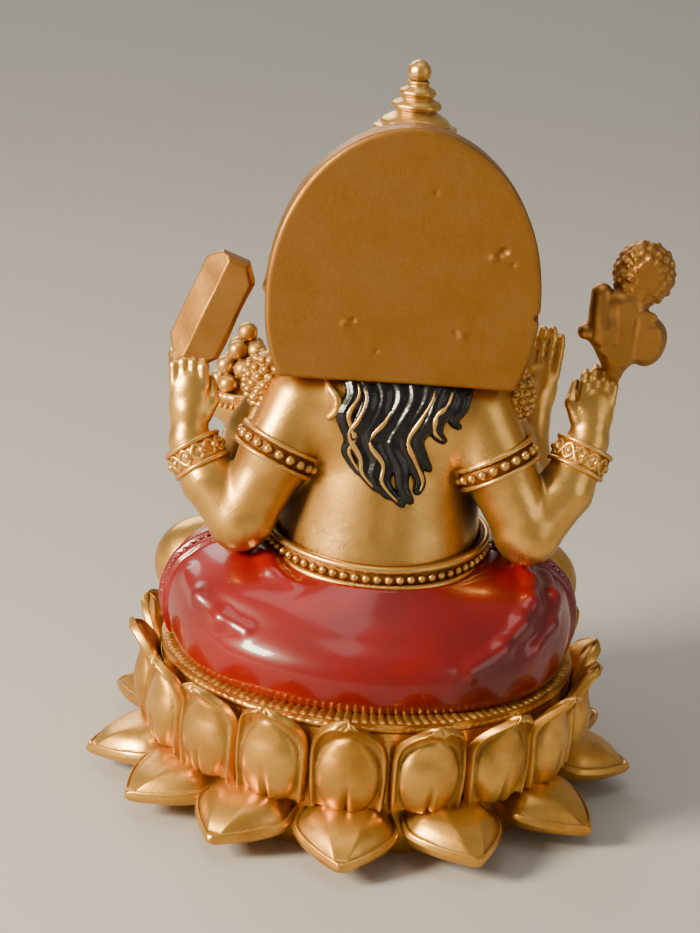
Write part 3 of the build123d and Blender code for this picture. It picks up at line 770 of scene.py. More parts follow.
# A darker copy of the gold: painted shade for the recessed channels of the belt, armlets and anklets.
channel_shade_gold = gold_paint("channel", (0.22, 0.085, 0.02), (0.14, 0.05, 0.012), 1.2, 0.5)
belt_back = []
for reach, lift in ((-1.2, 0.3), (0.15, 0.3), (0.15, 5.0), (-1.2, 5.0)):
    belt_back.append(belt_loop(reach, belt_z + lift))
points = [spot for corner in zip(*belt_back) for spot in corner]
belt_band = add_mesh("belt_channel", points, band_faces(belt_steps, 4), channel_shade_gold)
settle(belt_band, "ornament_gold", "waist_belt")
tube("belt_rail_low", belt_loop(0.5, belt_z + 0.75), 0.78, trim_gold, "ornament_gold", True, 12)
tube("belt_rail_high", belt_loop(0.35, belt_z + 4.6), 0.72, trim_gold, "ornament_gold", True, 12)
bead_row = belt_loop(0.45, belt_z + 2.65)
string_of_beads("belt_beads", bead_row + bead_row[:1], 0.83, belt_beads, trim_gold, "ornament_gold")


# ------------------------------------------------------------------ torso, arms and hands
# One smooth casting: back, belly and chest, with two pairs of arms. The upper arms hang against the
# sides, the rear forearms rise to the raised hands, and a sharp crease is left inside each elbow.
waist_sections = [
    (belt_z + 0.5, 21.4, 22.6, 1.0),
    (54, 21.2, 23.0, 0.0),
    (60, 20.6, 23.6, -2.0),
    (66, 19.4, 22.3, -1.8),
    (72, 18.6, 20.0, -1.0),
    (78, 18.8, 16.6, 0.6),
    (84, 18.4, 13.4, 2.2),
    (90, 13.0, 10.5, 2.0),
    (94, 9.0, 9.0, 0.5),
]
body = Clay((-52, -34, 48), (52, 27, 97), 0.465)
body.stack(waist_sections, 0.5)
body.ball((0, -8.5, 63), (19.2, 18.2, 14.2), 5.0)
for side in (1, -1):
    body.ball((side * 8.5, -12.5, 81), (8.6, 6.2, 6.4), 4.0)
    body.ball((side * 10.5, 10.5, 81), (8.0, 6.0, 8.5), 5.0)
body.roll([(0, 17.2, 86), (0, 20.8, 74), (0, 23.4, 60)], [0.5, 0.8, 0.6], 3.0, True)
body.roll([(0, -27.2, 60.0), (0, -26.0, 59.6)], [0.9, 0.9], 0.8, True)

arm_chains = {
    1: [
        (17.0, 7.5, 82.0), (21.5, 10.0, 72.5), (28.3, 12.0, 58.0),
        (35.0, 9.0, 65.0), (39.4, 6.0, 71.8),
    ],
    -1: [
        (-17.4, 7.5, 82.0), (-22.2, 10.0, 72.5), (-29.9, 12.0, 58.6),
        (-36.8, 9.0, 67.2), (-41.0, 5.5, 77.0),
    ],
}
arm_girths = [8.0, 7.2, 6.3, 5.7, 4.3]
for side, chain in arm_chains.items():
    body.roll(chain[:3], arm_girths[:3], 2.0)
    body.roll([chain[2], (chain[2][0] - side * 1.2, 12.0, chain[2][2] + 0.5)], [6.3, 6.0], 1.0)
    body.roll(chain[2:], arm_girths[2:], 1.0)
front_chains = {
    1: [
        (19.0, -4.0, 83.0), (25.5, -4.0, 71.5), (29.8, -3.5, 60.5),
        (30.6, -9.5, 61.0), (30.4, -14.5, 62.6),
    ],
    -1: [
        (-19.0, -4.0, 83.0), (-25.5, -4.0, 71.5), (-29.8, -3.5, 60.8),
        (-31.0, -10.0, 67.5), (-31.8, -14.5, 75.0),
    ],
}
for side, chain in front_chains.items():
    body.roll(chain, [6.9, 6.2, 5.3, 4.5, 3.6], 1.6)


def model_hand(clay, wrist, knuckles, across, bend, length, girth=1.05, curl=1.0):
    """A palm, four fingers in two joints each, and a thumb."""
    wrist, knuckles, across, bend = (np.array(v, float) for v in (wrist, knuckles, across, bend))
    reach = knuckles - wrist
    span = np.linalg.norm(reach)
    reach /= span
    across = across - reach * (across @ reach)
    across /= np.linalg.norm(across)
    facing = np.cross(across, reach)
    middle = (wrist + knuckles) / 2 + reach * 0.6
    clay.roll([wrist, wrist + reach * span * 0.45], [3.5, 3.0], 1.2)
    clay.ball(middle, (4.2, 2.3, span / 2 + 0.8), 1.4, turn=np.array([across, facing, reach]))
    for finger in range(4):
        aside = (finger - 1.5) * 1.98
        size = length * (0.86, 1.0, 0.97, 0.78)[finger]
        root = knuckles + across * aside - reach * 1.6
        knuckle = root + (reach + 0.25 * bend) * size * 0.52
        joint = knuckle + (reach * (1 - 0.35 * curl) + bend * curl * 0.8) * size * 0.3
        tip = joint + (reach * (1 - 0.7 * curl) + bend * curl * 1.1) * size * 0.24
        clay.roll([root, knuckle, joint, tip], [girth + 0.12, girth + 0.05, girth, girth * 0.8], 0.35)
    thumb = wrist + reach * span * 0.42 + across * 3.2
    bent = thumb + (reach * 0.75 + across * 0.5 + bend * 0.35) * 3.6
    end = thumb + (reach + across * 0.25 + bend * 0.7) * 5.8
    clay.roll([thumb, bent, end], [1.6, 1.3, 0.95], 0.6)


model_hand(body, arm_chains[1][-1], (40.2, 4.4, 84.6), (-1, 0.15, 0), (0.1, -0.9, 0.1), 8.2, 1.1, 1.1)
model_hand(body, arm_chains[-1][-1], (-42.0, 4.4, 86.5), (1, 0.15, 0), (-0.1, -0.9, 0.1), 7.4, 1.1, 1.1)
model_hand(body, front_chains[1][-1], (28.8, -23.0, 64.9), (-1, 0, 0), (0, -0.1, 0.5), 7.2, 1.05, 0.6)
model_hand(body, front_chains[-1][-1], (-33.0, -17.2, 85.6), (1, 0, 0), (0, 0.1, 0), 9.4, 1.12, 0.15)
body.roughen(0.09, 4.2, 5)
body.plane_cut(2, belt_z + 0.6, -1)
body.cast(
    "body_casting",
    skin_gold,
    "skin_gold",
    [
        "torso",
        "rear_left_arm",
        "rear_right_arm",
        "rear_left_hand",
        "rear_right_hand",
        "front_left_arm",
        "front_right_arm",
    ],
)


# ------------------------------------------------------------------ armlets and bangles
# Each is a band with a rail at both edges. The armlets' beads lie in a channel whose dark gold is
# painted shade; the bangles carry beads between crossed leaves.
band_steps = 72
leaf_steps = 168


def arm_band(name, centre, along, radius, height, beads, crossed, nodes=()):
    """A band round an arm at a centre, along the arm's own direction."""
    centre, along = np.array(centre, float), np.array(along, float)
    along /= np.linalg.norm(along)
    across = np.cross(along, (0, 1, 0))
    across /= np.linalg.norm(across)
    back = np.cross(along, across)

    def spoke(turn):
        return math.cos(turn) * across + math.sin(turn) * back

    def loop(grow, shift):
        turns = [2 * math.pi * step / band_steps for step in range(band_steps)]
        return [centre + along * shift + (radius + grow) * spoke(turn) for turn in turns]

    half = height / 2
    edges = ((-0.9, -half), (0.15, -half), (0.15, half), (-0.9, half))
    points = [spot for corner in zip(*(loop(grow, shift) for grow, shift in edges)) for spot in corner]
    band = add_mesh(name, points, band_faces(band_steps, 4), trim_gold if crossed else channel_shade_gold)
    settle(band, "ornament_gold", *nodes)
    for word, shift in (("low", -half + 0.35), ("high", half - 0.35)):
        tube(f"{name}_rail_{word}", loop(0.35, shift), 0.52, trim_gold, "ornament_gold", True)
    row = loop(0.35, 0.0)
    bead_radius = 0.85 if crossed else 0.95
    string_of_beads(f"{name}_beads", row + row[:1], bead_radius, beads, trim_gold, "ornament_gold")
    if crossed:
        turns = [2 * math.pi * step / leaf_steps for step in range(leaf_steps)]
        for letter, sign in (("a", 1), ("b", -1)):
            wave = []
            for turn in turns:
                sway = along * (sign * (half - 1.2) * math.sin(6 * turn))
                wave.append(centre + sway + (radius + 0.15) * spoke(turn))
            tube(f"{name}_leaf_{letter}", wave, 0.45, trim_gold, "ornament_gold", True, 8)


for side, word in ((1, "left"), (-1, "right")):
    shoulder, upper, elbow, mid, wrist = (np.array(p) for p in arm_chains[side])
    armlet_nodes = ["rear_armlets"] if side > 0 else []
    arm_band(f"rear_{word}_armlet", upper, elbow - shoulder, 8.1, 4.6, 22, False, armlet_nodes)
    share = 0.62 if side > 0 else 0.66
    cuff = mid + (wrist - mid) * share
    arm_band(f"rear_{word}_bangle", cuff, wrist - mid, 5.3, 5.4, 12, True, [f"rear_{word}_bangle"])


# ------------------------------------------------------------------ back plate
# A thick, flat plate shaped like an egg with a cut-off foot. It was poured face down, so its back
# is plain, with a few air pits and a chipped corner, and its edge is rounded by sanding.
plate_low, plate_high = (Vector(corner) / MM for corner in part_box("back_plate"))
plate_mid_y = (plate_low.y + plate_high.y) / 2
plate_half_y = (plate_high.y - plate_low.y) / 2
plate_wide_z = 106.0
plate = Clay((-30, plate_low.y - 2, 87), (30, plate_high.y + 2, 143), 0.3)


def plate_shape(x, y, z):
    """An egg outline, taller and narrower above its widest height than below it."""
    up = z - plate_wide_z
    tall = np.where(up > 0, plate_high.z - plate_wide_z, 30.0)
    power = np.where(up > 0, 2.02, 2.2)
    ratio = (np.abs(x + 0.5) / 26.8) ** power + (np.abs(up) / tall) ** power
    side = (ratio ** (1 / power) - 1) * 25
    side = np.maximum(side, plate_low.z - z)
    deep = np.abs(y - plate_mid_y) - plate_half_y
    soft = 0.9
    inside = np.minimum(np.maximum(side + soft, deep + soft), 0)
    outside = np.sqrt(np.maximum(side + soft, 0) ** 2 + np.maximum(deep + soft, 0) ** 2)
    return inside + outside - soft


plate.press(plate_shape, plate.low, plate.low + plate.voxel * plate.count, 0.2)
air_pits = [(-19.0, 117.5, 0.7), (-18.0, 116.6, 0.5), (-21.0, 115.0, 0.4), (-11, 101, 0.35)]
air_pits += [(9, 102, 0.4), (4, 96, 0.3), (-5, 128, 0.3)]
for x, z, size in air_pits:
    plate.ball((x, plate_high.y + 0.1, z), (size * 1.3, size, size), 0.5, True)
for x, z, size in ((-17.2, 116.0, 0.5), (-12.5, 100, 0.4), (10.5, 101.2, 0.35)):
    plate.ball((x, plate_high.y - 0.2, z), (size * 1.4, size, size), 0.8)
plate.ball((-27.0, plate_high.y, 104.6), (0.9, 2.5, 0.7), 0.6, True)
plate.roughen(0.1, 6.0, 8)
# Dark brownish gold: painted shade, and a painted reflection of the brown surroundings in the gold.
plate_shade_gold = gold_paint("plate_gold", (0.36, 0.165, 0.035), (0.28, 0.12, 0.022), 1.0, 0.44, 0.7, 0.06)
plate.cast("back_plate", plate_shade_gold, "plate_gold", ["back_plate"])


# ------------------------------------------------------------------ hair
# Long wavy locks modelled in relief on the back and painted gloss black; the crests of a few locks
# are picked out with a thin gold line.
black = Paint("hair_black")
black.bump(black.noise(700, 3.0), 0.05)
hair_black = black.set(
    Base_Color=black.mix(black.noise(300, 2.0), (0.002, 0.002, 0.002), (0.006, 0.005, 0.005)),
    Roughness=0.2 + 0.14 * black.noise(350, 2.0),
    Specular_IOR_Level=0.3,
    Coat_Weight=0.25,
    Coat_Roughness=0.1,
)


def on_back(x, z, proud=0.0):
    """The point of the back that is seen at this place from behind, or this far off it."""
    start = np.array((x, 20.0, z)) - 30 * from_behind
    return body.skin(start, from_behind, proud)


def smooth_path(corners, steps=30):
    """A flowing line through a few corners."""
    corners = np.array([corners[0], *corners, corners[-1]], float)
    spots = []
    for step in range(steps):
        place = step / (steps - 1) * (len(corners) - 3)
        k = min(int(place), len(corners) - 4)
        t = place - k
        a, b, c, d = corners[k : k + 4]
        square = (2 * a - 5 * b + 4 * c - d) * t**2
        cube = (3 * b - a - 3 * c + d) * t**3
        spots.append(0.5 * (2 * b + (c - a) * t + square + cube))
    return spots


# Each lock: its line down the back, its girth, and how far aside its gold line runs, if it has one
hair_locks = [
    ([(8.8, 92.0), (7.6, 88.0), (9.3, 83.5), (7.6, 79.0), (8.3, 76.0), (5.6, 71.8)], 2.0, -0.9),
    (
        [(6.6, 92.0), (4.4, 87.5), (5.6, 83.0), (7.4, 79.5), (5.0, 75.0), (4.6, 72.0), (2.0, 68.8)],
        2.3,
        0.9,
    ),
    (
        [(3.2, 92.0), (1.6, 88.0), (2.4, 84.0), (4.2, 79.5), (2.2, 75.0), (2.6, 71.0), (-0.6, 67.3)],
        2.5,
        None,
    ),
    (
        [(0.2, 92.0), (-1.8, 88.0), (0.2, 83.0), (3.2, 78.5), (0.4, 74.0), (0.4, 70.0), (-3.4, 65.8)],
        2.5,
        1.0,
    ),
    (
        [(-3.4, 92.0), (-4.4, 87.5), (-2.2, 82.5), (-0.4, 78.0), (-2.6, 73.5), (-3.2, 69.5), (-5.0, 66.6)],
        2.5,
        None,
    ),
    (
        [(-6.8, 92.0), (-6.8, 88.0), (-4.8, 83.5), (-2.8, 79.0), (-4.6, 75.0), (-6.6, 71.0), (-6.2, 68.6)],
        2.3,
        -1.0,
    ),
    ([(-9.8, 92.0), (-8.6, 87.5), (-7.4, 83.5), (-5.2, 79.5), (-6.6, 76.0), (-8.2, 73.5)], 2.2, None),
    ([(-12.6, 92.0), (-11.4, 87.0), (-9.2, 84.5), (-9.0, 81.2), (-10.6, 79.6)], 2.1, 0.6),
    ([(-14.2, 92.0), (-13.6, 87.0), (-12.0, 84.2), (-13.4, 82.6)], 1.6, None),
]
hair = Clay((-20, 6, 60), (16, 33, 96), 0.26)
gold_lines = []
for number, (corners, girth, gold) in enumerate(hair_locks):
    path = smooth_path(corners)
    shrink = [1 - 0.72 * (step / 29) ** 1.6 for step in range(30)]
    hair.roll([on_back(x, z, 0.1) for x, z in path], [girth * share for share in shrink], 0.5)
    for shift, rise in ((-1.15, 1.25), (0.15, 1.75), (1.3, 1.15)):
        wisp = [
            on_back(x + shift * share * girth / 2.3, z, rise * share + 0.1)
            for (x, z), share in zip(path, shrink)
        ]
        hair.roll(wisp, [0.82 * share * girth / 2.3 + 0.1 for share in shrink], 0.3)
    if gold is not None:
        gold_lines.append(
            [on_back(x + gold * share, z, 1.8 * share + 0.55) for (x, z), share in zip(path, shrink)]
        )
hair.cast("hair", hair_black, "hair_black", ["hair"])

for number, spots in enumerate(gold_lines):
    girths = []
    for step in range(26):
        girths.append(0.2 + 0.45 * math.sin(math.pi * step / 25) * (0.75 + 0.25 * math.sin(step)))
    tube(f"gold_strand_{number + 1}", spots[3:29], girths, trim_gold, "ornament_gold", False, 8)
curl = smooth_path([(13.6, 91.5), (12.6, 89.0), (11.0, 86.8), (11.0, 84.4), (12.6, 82.6)], 24)
curl_girths = [0.5 + 0.55 * math.sin(math.pi * step / 23) for step in range(24)]
tube("gold_curl", [on_back(x, z, 0.8) for x, z in curl], curl_girths, skin_gold, "skin_gold", False, 12)


# ------------------------------------------------------------------ legs
# Bare knees, shins and feet of the same gold, crossed in front and bonded to the dhoti.
legs = Clay((-48, -42, 26), (48, 4, 54), 0.38)
shin_paths = {
    1: [(35.2, -8.0, 40.6), (22, -22.0, 37.5), (4, -30.5, 34.0), (-8, -32.5, 33.0)],
    -1: [(-33.6, -8.0, 40.6), (-22, -20.5, 40.5), (-2, -27.5, 41.0), (10, -27.0, 41.5)],
}
for side, path in shin_paths.items():
    legs.ball(path[0], (10.2, 8.6, 9.6), 3.0)
    legs.roll(path, [9.2, 7.6, 5.2, 4.2], 2.0)
    heel, ankle = np.array(path[3], float), np.array(path[2], float)
    toward = (heel - ankle) / np.linalg.norm(heel - ankle)
    sole_end = heel + toward * 7.0 + np.array((0, -1.5, -0.5))
    legs.roll([heel, sole_end], [3.9, 2.9], 1.4)
    for toe in range(5):
        start = sole_end + np.array((0, 0.5, 2.2 - 1.15 * toe))
        size = 1.35 - 0.12 * toe
        legs.roll([start, start + toward * (3.4 - 0.35 * toe)], [size, size * 0.9], 0.3)
legs.roughen(0.08, 4.5, 11)
legs.plane_cut(2, seat_top + 0.1, -1)
legs.cast("legs", skin_gold, "skin_gold", ["left_leg", "right_leg"])
for side, word in ((1, "left"), (-1, "right")):
    path = shin_paths[side]
    heel, ankle = np.array(path[3], float), np.array(path[2], float)
    spot = ankle + (heel - ankle) * 0.62
    arm_band(f"{word}_anklet", spot, heel - ankle, 4.75, 3.4, 16, False)


# ------------------------------------------------------------------ head, trunk and ears
# A calm elephant's head, modelled plainly: a domed brow, full cheeks, small lidded eyes, and a trunk
# that curls to the figure's left, towards the sweets. The ears are broad fans with rolled edges.
head = Clay((-31, -36, 70), (31, 12, 123), 0.34)
head.ball((0, -4.0, 105.5), (13.2, 14.6, 13.8), 1.0)
head.ball((0, -9.5, 99.0), (10.2, 9.6, 9.0), 4.0)
for side in (1, -1):
    head.ball((side * 5.6, -9.0, 111.5), (7.0, 7.0, 6.6), 3.5)
    head.ball((side * 8.2, -11.5, 97.6), (5.2, 6.2, 5.4), 3.0)
    head.ball((side * 7.2, -17.4, 104.2), (2.7, 1.9, 1.7), 1.0)
    head.ball((side * 7.3, -19.0, 104.1), (1.75, 0.9, 0.95), 0.3)
    head.roll(
        [(side * 4.6, -19.2, 104.0), (side * 7.2, -19.6, 105.9), (side * 10.2, -17.2, 104.6)],
        [0.35, 0.6, 0.3],
        0.6,
    )
    head.roll(
        [(side * 4.8, -19.2, 103.3), (side * 7.4, -19.4, 102.6), (side * 9.9, -17.4, 103.6)],
        [0.3, 0.4, 0.25],
        0.5,
    )
    head.roll([(side * 6.2, -13.5, 97.5), (side * 7.6, -18.6, 94.2)], [2.9, 2.3], 1.4)
trunk = [
    (0, -14, 103),
    (0, -18.6, 98),
    (0.4, -22.0, 92.5),
    (1.6, -24.6, 87),
    (3.8, -26.4, 81.8),
    (7.2, -27.8, 77.6),
    (11.4, -29.0, 75.2),
    (15.4, -29.0, 75.6),
    (18.0, -28.0, 78.4),
    (18.4, -26.6, 81.8),
]
trunk_girths = [7.6, 6.8, 5.9, 5.3, 4.8, 4.3, 3.8, 3.4, 3.0, 2.6]
head.roll(trunk, trunk_girths, 1.6)
for index in range(2, 8):
    for share in (0.0, 0.5):
        a, b = np.array(trunk[index], float), np.array(trunk[index + 1], float)
        girth = trunk_girths[index] + (trunk_girths[index + 1] - trunk_girths[index]) * share
        spot = a + (b - a) * share
        along = (b - a) / np.linalg.norm(b - a)
        across = np.cross(along, (0, 1, 0.2))
        across /= np.linalg.norm(across)
        over = np.cross(across, along)
        over = over if over[1] < 0 else -over
        crease = [
            spot + (girth + 0.25) * (math.sin(k) * across + math.cos(k) * over)
            for k in (-1.25, -0.75, -0.25, 0.25, 0.75, 1.25)
        ]
        head.roll(crease, [0.2, 0.38, 0.42, 0.42, 0.38, 0.2], 0.45, True)
head.ball((18.6, -26.2, 84.3), (1.0, 1.0, 1.3), 0.4, True)
head.roll([(-3.4, -15.2, 91.4), (-1.0, -16.8, 90.2)], [1.6, 1.4], 1.0)
for side in (1, -1):
    lobe = [(side * 12, -3.0, 112), (side * 20, -3.5, 113), (side * 24.4, -4.4, 108)]
    lobe += [(side * 25.2, -5.0, 102), (side * 22.5, -5.2, 96.5)]
    lobe += [(side * 18.0, -4.6, 92.6), (side * 13.6, -3.6, 93.6)]
    tilt = np.array([(1, side * 0.12, 0), (-side * 0.12, 1, 0), (0, 0, 1)], float)
    head.ball((side * 17.0, -3.4, 104.5), (8.6, 1.7, 9.0), 1.6, turn=tilt)
    head.ball((side * 17.2, -3.8, 98.8), (6.4, 1.6, 6.6), 1.6, turn=tilt)
    head.roll(lobe, [1.2, 1.35, 1.35, 1.35, 1.3, 1.2, 1.0], 0.9)
    for drop in (0, 1, 2):
        root = (side * (14.5 + drop), -5.8, 109 - 3.2 * drop)
        end = (side * (20.5 + 0.6 * drop), -6.4, 106.5 - 3.6 * drop)
        head.roll([root, end], [0.25, 0.5], 0.7, True)
head.roughen(0.07, 4.0, 13)
head.plane_cut(1, plate_low.y + 0.05, 1)
head.plane_cut(2, 119.5, 1)
head.cast("head", skin_gold, "skin_gold", ["head", "left_ear", "right_ear"])

ivory = Paint("tusk_ivory")
ivory.bump(ivory.noise(900, 2.0), 0.02)
tusk_ivory = ivory.set(
    Base_Color=ivory.mix(ivory.noise(250, 2.0), (0.80, 0.70, 0.50), (0.62, 0.48, 0.28)), Roughness=0.35
)
for side, word, tip in ((1, "left", 0.42), (-1, "right", 1.0)):
    path = []
    for step in range(13):
        t = tip * step / 12
        path.append((side * (7.5 + 3.4 * t), -19.0 - 8.0 * t, 94.2 - 4.6 * t + 2.4 * t * t))
    girths = [1.75 - 1.2 * tip * (step / 12) ** 1.3 for step in range(13)]
    tusk = tube(f"{word}_tusk", path, girths, tusk_ivory, "tusk_ivory", False, 16)
    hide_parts(f"{word}_tusk")


# ------------------------------------------------------------------ crown and finial
# A turned crown with a beaded brow band and upright leaves, topped by a stack of rings and a ball.
def turned(name, profile, centre, paint, slot, flutes=0, depth=0.0, count=96):
    """A piece turned on a lathe, from (radius, z) points; flutes ripple its wide parts."""
    points = []
    for turn in range(count):
        angle = 2 * math.pi * turn / count
        for radius, z in profile:
            reach = radius + depth * math.cos(flutes * angle) * min(1, radius / 4)
            points.append((centre[0] + reach * math.cos(angle), centre[1] + reach * math.sin(angle), z))
    faces = band_faces(count, len(profile), closed=False)
    return settle(add_mesh(name, points, faces, paint), slot, name)


def ring_path(centre, radius, z, steps=96):
    """A closed level circle."""
    turns = [2 * math.pi * step / steps for step in range(steps + 1)]
    return [(centre[0] + radius * math.cos(t), centre[1] + radius * math.sin(t), z) for t in turns]


crown_low, crown_high = (Vector(corner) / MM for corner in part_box("finial"))
crown_mid = ((crown_low.x + crown_high.x) / 2, (crown_low.y + crown_high.y) / 2)
crown_top = crown_high.z - 12.8
brow_z = 116.0
brow_shape = [(0.0, 0.0), (12.6, 0.0), (13.2, 0.5), (13.2, 1.3), (12.5, 1.7)]
brow_shape += [(12.5, 3.6), (13.1, 4.0), (13.0, 4.9), (12.0, 5.4)]
crown_profile = [(radius, brow_z + rise) for radius, rise in brow_shape]
crown_profile += [(11.8 - 0.55 * k + 0.012 * k * k, brow_z + 6.0 + 1.35 * k) for k in range(10)]
rim_shape = [(7.6, -1.4), (8.2, -0.9), (8.0, -0.2), (6.0, 0.0), (0.0, 0.0)]
crown_profile += [(radius, crown_top + rise) for radius, rise in rim_shape]
turned("crown", crown_profile, crown_mid, trim_gold, "ornament_gold", 12, 0.22)
brow_ring = ring_path(crown_mid, 12.75, brow_z + 2.65)
string_of_beads("crown_beads", brow_ring, 0.85, 44, trim_gold, "ornament_gold")
leaf_rows = ((11.6, brow_z + 7.0, 1.5, 18), (9.9, brow_z + 11.6, 1.35, 14))
for row, (radius, z, size, count) in enumerate(leaf_rows):
    for index in range(count):
        angle = 2 * math.pi * (index + 0.5 * row) / count
        out = Vector((math.cos(angle), math.sin(angle), 0))
        foot = Vector((*crown_mid, z)) + out * radius
        leaf = [foot + Vector((0, 0, 0.55 * k)) - out * (0.1 * k) for k in range(7)]
        girths = []
        for k in range(7):
            girths.append(size * (0.55 + 0.45 * math.sin(math.pi * (k + 0.6) / 7)) * (1 - (k / 7.2) ** 3))
        tube(f"crown_leaf_{row}_{index:02d}", leaf, girths, trim_gold, "ornament_gold", False, 8)

finial_shape = [(0.0, -0.2), (6.7, -0.1), (6.9, 0.5), (6.5, 1.2), (5.3, 1.9), (4.0, 2.7), (3.9, 3.1)]
finial_shape += [(4.8, 3.4), (5.0, 3.9), (4.7, 4.5), (3.4, 5.0), (2.9, 5.5), (3.5, 5.9), (3.7, 6.4)]
finial_shape += [(3.4, 7.0), (2.4, 7.5), (1.9, 8.0), (2.3, 8.3), (2.1, 8.7), (1.2, 9.0)]
finial_profile = [(radius, crown_top + rise) for radius, rise in finial_shape]
ball_radius = 2.35
ball_z = crown_high.z - ball_radius
for degrees in range(35, 181, 12):
    angle = math.radians(degrees)
    finial_profile.append((ball_radius * math.sin(angle), ball_z - ball_radius * math.cos(angle)))
finial_profile += [(0.0, crown_high.z)]
turned("finial", finial_profile, crown_mid, trim_gold, "ornament_gold", 9, 0.07, 64)


# ------------------------------------------------------------------ axe blade
# A thick eight-sided blade held up in the rear left hand: plain back and broad bevels. The
# whole blade is a darker gold, painted shade for its back turned from the lamp.
axe_low, axe_high = (Vector(corner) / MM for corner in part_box("axe_head"))
axe_mid = np.array([(low + high) / 2 for low, high in zip(axe_low, axe_high)])
axe_up = np.array((-0.37, 0.0, 0.93))
axe_up /= np.linalg.norm(axe_up)
axe_side = np.array((axe_up[2], 0.0, -axe_up[0]))
axe = Clay(np.array(axe_low) - 3, np.array(axe_high) + 3, 0.26)


def axe_shape(x, y, z):
    """An eight-sided slab with bevelled edges and one broad sloping flank."""
    a = (x - axe_mid[0]) * axe_side[0] + (z - axe_mid[2]) * axe_side[2]
    b = (x - axe_mid[0]) * axe_up[0] + (z - axe_mid[2]) * axe_up[2]
    side = np.maximum(np.abs(a) - 5.5, np.abs(b) - 11.8)
    side = np.maximum(side, (np.abs(a) * 0.78 + np.abs(b) * 0.62) - 9.6)
    deep = np.abs(y - axe_mid[1]) - 2.7
    bevel = (side + deep + 0.9) * 0.72
    flank = 0.75 * a + 0.66 * (y - axe_mid[1]) - 2.7
    return np.maximum(np.maximum(side, deep), np.maximum(bevel, flank))


axe.press(axe_shape, axe.low, axe.low + axe.voxel * axe.count, 0.35)
axe.roughen(0.14, 2.6, 17)
axe.cast("axe_blade", painted_shade_gold, "offering_gold", ["axe_head"])


# ------------------------------------------------------------------ lotus spray
# Held in the rear right hand: a seeded ball on top, a bulb and a leaf below it, with a flat back.
bud_low, bud_high = (Vector(corner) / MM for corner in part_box("lotus_bud"))
bud = Clay(np.array(bud_low) - 3, np.array(bud_high) + 3, 0.28)
ball_spot = np.array((-49.5, bud_high.y - 3.9, 110.8))
ball_radii = np.array((6.0, 4.7, 6.5))
bud.ball(ball_spot, ball_radii, 0.4)
bud.ball((-46.2, 0.8, 104.0), (4.6, 3.4, 4.0), 1.6)
bud.ball((-45.7, 0.8, 98.2), (5.8, 3.5, 6.4), 1.4)
bud.ball((-51.0, 0.6, 97.4), (4.4, 4.0, 5.2), 0.6)
bud.roll([(-41.2, 0.8, 106.4), (-42.0, 0.8, 98.0)], [2.3, 2.9], 0.6)
bud.roll([(-45.7, 0.8, 95.0), (-45.1, 0.6, 90.5)], [3.8, 2.3], 1.4)
bud.ball((-38.9, 0.8, 98.6), (1.8, 1.8, 1.7), 0.8)
seeds = np.random.default_rng(5)
for index in range(110):
    height = 1 - 2 * (index + 0.5) / 110
    spin = 2.39996 * index
    flat = math.sqrt(1 - height * height)
    direction = np.array((flat * math.cos(spin), flat * math.sin(spin), height))
    bud.ball(ball_spot + direction * ball_radii * 0.96, seeds.uniform(0.6, 0.95, 3), 0.5)
for index in range(14):
    spot = (seeds.uniform(-53, -42), seeds.uniform(2.4, 3.6), seeds.uniform(93, 105))
    bud.ball(spot, seeds.uniform(0.9, 1.9, 3), 0.9)
bud.roll([(-43.6, 4.0, 107.0), (-44.6, 4.3, 97.0)], [0.5, 0.7], 0.7, True)
bud.roll([(-48.4, 4.0, 102.5), (-48.0, 4.2, 94.0)], [0.5, 0.6], 0.7, True)
bud.roughen(0.16, 1.9, 23)
bud.plane_cut(1, bud_high.y + 0.6, 1)
# The spray's darker gold is painted shade: the gold in shadow on its back.
bud.cast("lotus_spray", painted_shade_gold, "offering_gold", ["lotus_bud"])


# ------------------------------------------------------------------ bowl and sweets
# A turned bowl with a carved band under its rim, heaped with round sweets.
bowl_low, bowl_high = (Vector(corner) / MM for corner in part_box("sweet_bowl"))
bowl_mid = ((bowl_low.x + bowl_high.x) / 2, (bowl_low.y + bowl_high.y) / 2)
foot_z, rim_z = bowl_low.z, bowl_high.z
foot_shape = [(0.0, 0.0), (3.4, 0.0), (3.7, 0.4), (3.2, 1.0)]
foot_shape += [(4.4, 1.6), (6.0, 2.8), (7.1, 4.4), (7.5, 6.0)]
lip_shape = [(7.5, -2.0), (8.1, -1.6), (8.2, -0.7), (7.8, 0.0), (7.1, 0.0), (6.9, -0.6), (6.7, -3.0)]
lip_shape += [(0.0, -4.5)]
bowl_profile = [(radius, foot_z + rise) for radius, rise in foot_shape]
bowl_profile += [(radius, rim_z + rise) for radius, rise in lip_shape]
turned("sweet_bowl", bowl_profile, bowl_mid, trim_gold, "offering_gold", 24, 0.12)
string_of_beads("bowl_beads", ring_path(bowl_mid, 7.6, rim_z - 2.9), 0.55, 36, trim_gold, "offering_gold")

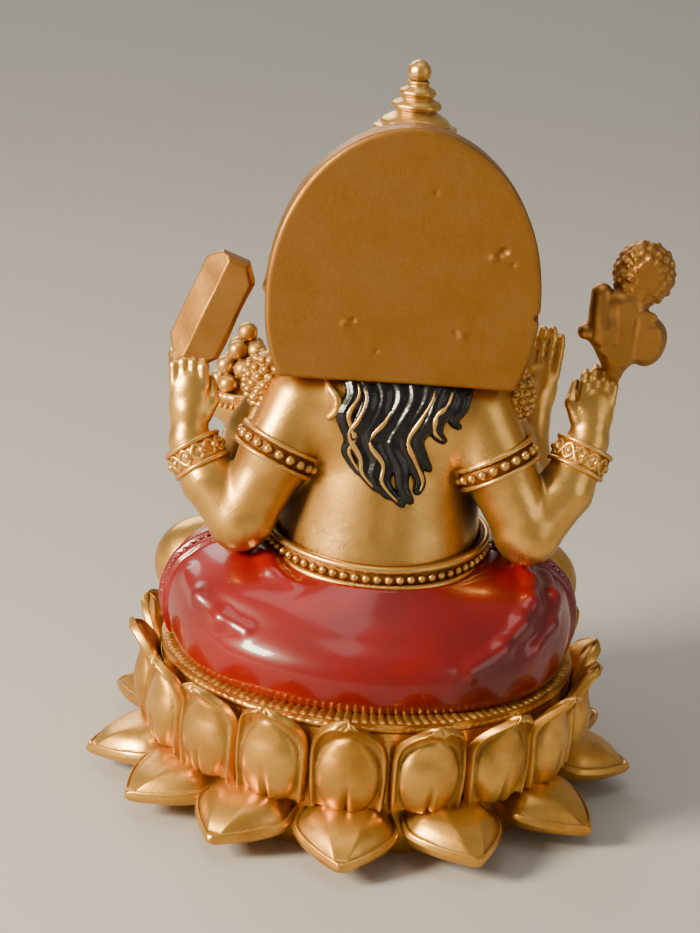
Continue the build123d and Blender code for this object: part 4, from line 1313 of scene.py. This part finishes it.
sweet_radius = 2.15
sweet_spots = []
for layer, (count, ring) in enumerate(((7, 5.3), (6, 4.2), (4, 2.6), (1, 0.0))):
    for index in range(count):
        angle = math.radians(360 * index / count + 25 * layer)
        wobble = 0.35 * math.sin(7 * index + layer)
        x = bowl_mid[0] + (ring + wobble) * math.cos(angle)
        y = bowl_mid[1] + (ring + wobble) * math.sin(angle)
        sweet_spots.append((x, y, rim_z + 1.2 + 3.5 * layer + 0.4 * wobble))
heap_low = (bowl_mid[0] - 10, bowl_mid[1] - 10, rim_z - 4)
heap_high = (bowl_mid[0] + 10, bowl_mid[1] + 10, rim_z + 17)
heap = Clay(heap_low, heap_high, 0.28)
heap.roll([(*bowl_mid, rim_z - 1), (*bowl_mid, rim_z + 9)], [4.6, 1.4], 0.4)
for spot in sweet_spots:
    heap.ball(spot, (sweet_radius, sweet_radius, sweet_radius), 0.25)
heap.cast("sweets", trim_gold, "offering_gold", ["sweets"])


# ------------------------------------------------------------------ shoulder ornaments and necklace
# Ribbed tassel pads lie on the shoulders beside the plate's foot, and a bead string crosses the chest.
for side, word in ((1, "left"), (-1, "right")):
    pad = Clay((side * 25 - 9, -6, 76), (side * 25 + 9, 14, 94), 0.26)
    middle = np.array((side * 24.6, 3.5, 85.0))
    pad.ball(middle, (4.3, 4.6, 5.8), 0.5)
    for row in range(7):
        level = (row - 3) * 1.55
        reach = 4.5 * math.sqrt(max(0.05, 1 - (level / 6.0) ** 2))
        for index in range(11):
            angle = 2 * math.pi * (index + 0.5 * (row % 2)) / 11
            spot = middle + (reach * math.cos(angle), reach * math.sin(angle), level)
            pad.ball(spot, (0.95, 0.95, 0.85), 0.2)
    pad.cast(f"shoulder_pad_{word}", trim_gold, "ornament_gold")
necklace = []
for step in range(41):
    t = step / 40
    x = -11.5 + 23 * t
    drop = 1 - (2 * t - 1) ** 2
    necklace.append((x, -9.5 - 9.8 * drop**0.5 - 1.0 * drop, 90.0 - 8.6 * drop))
string_of_beads("necklace", necklace, 0.9, 25, trim_gold, "ornament_gold")
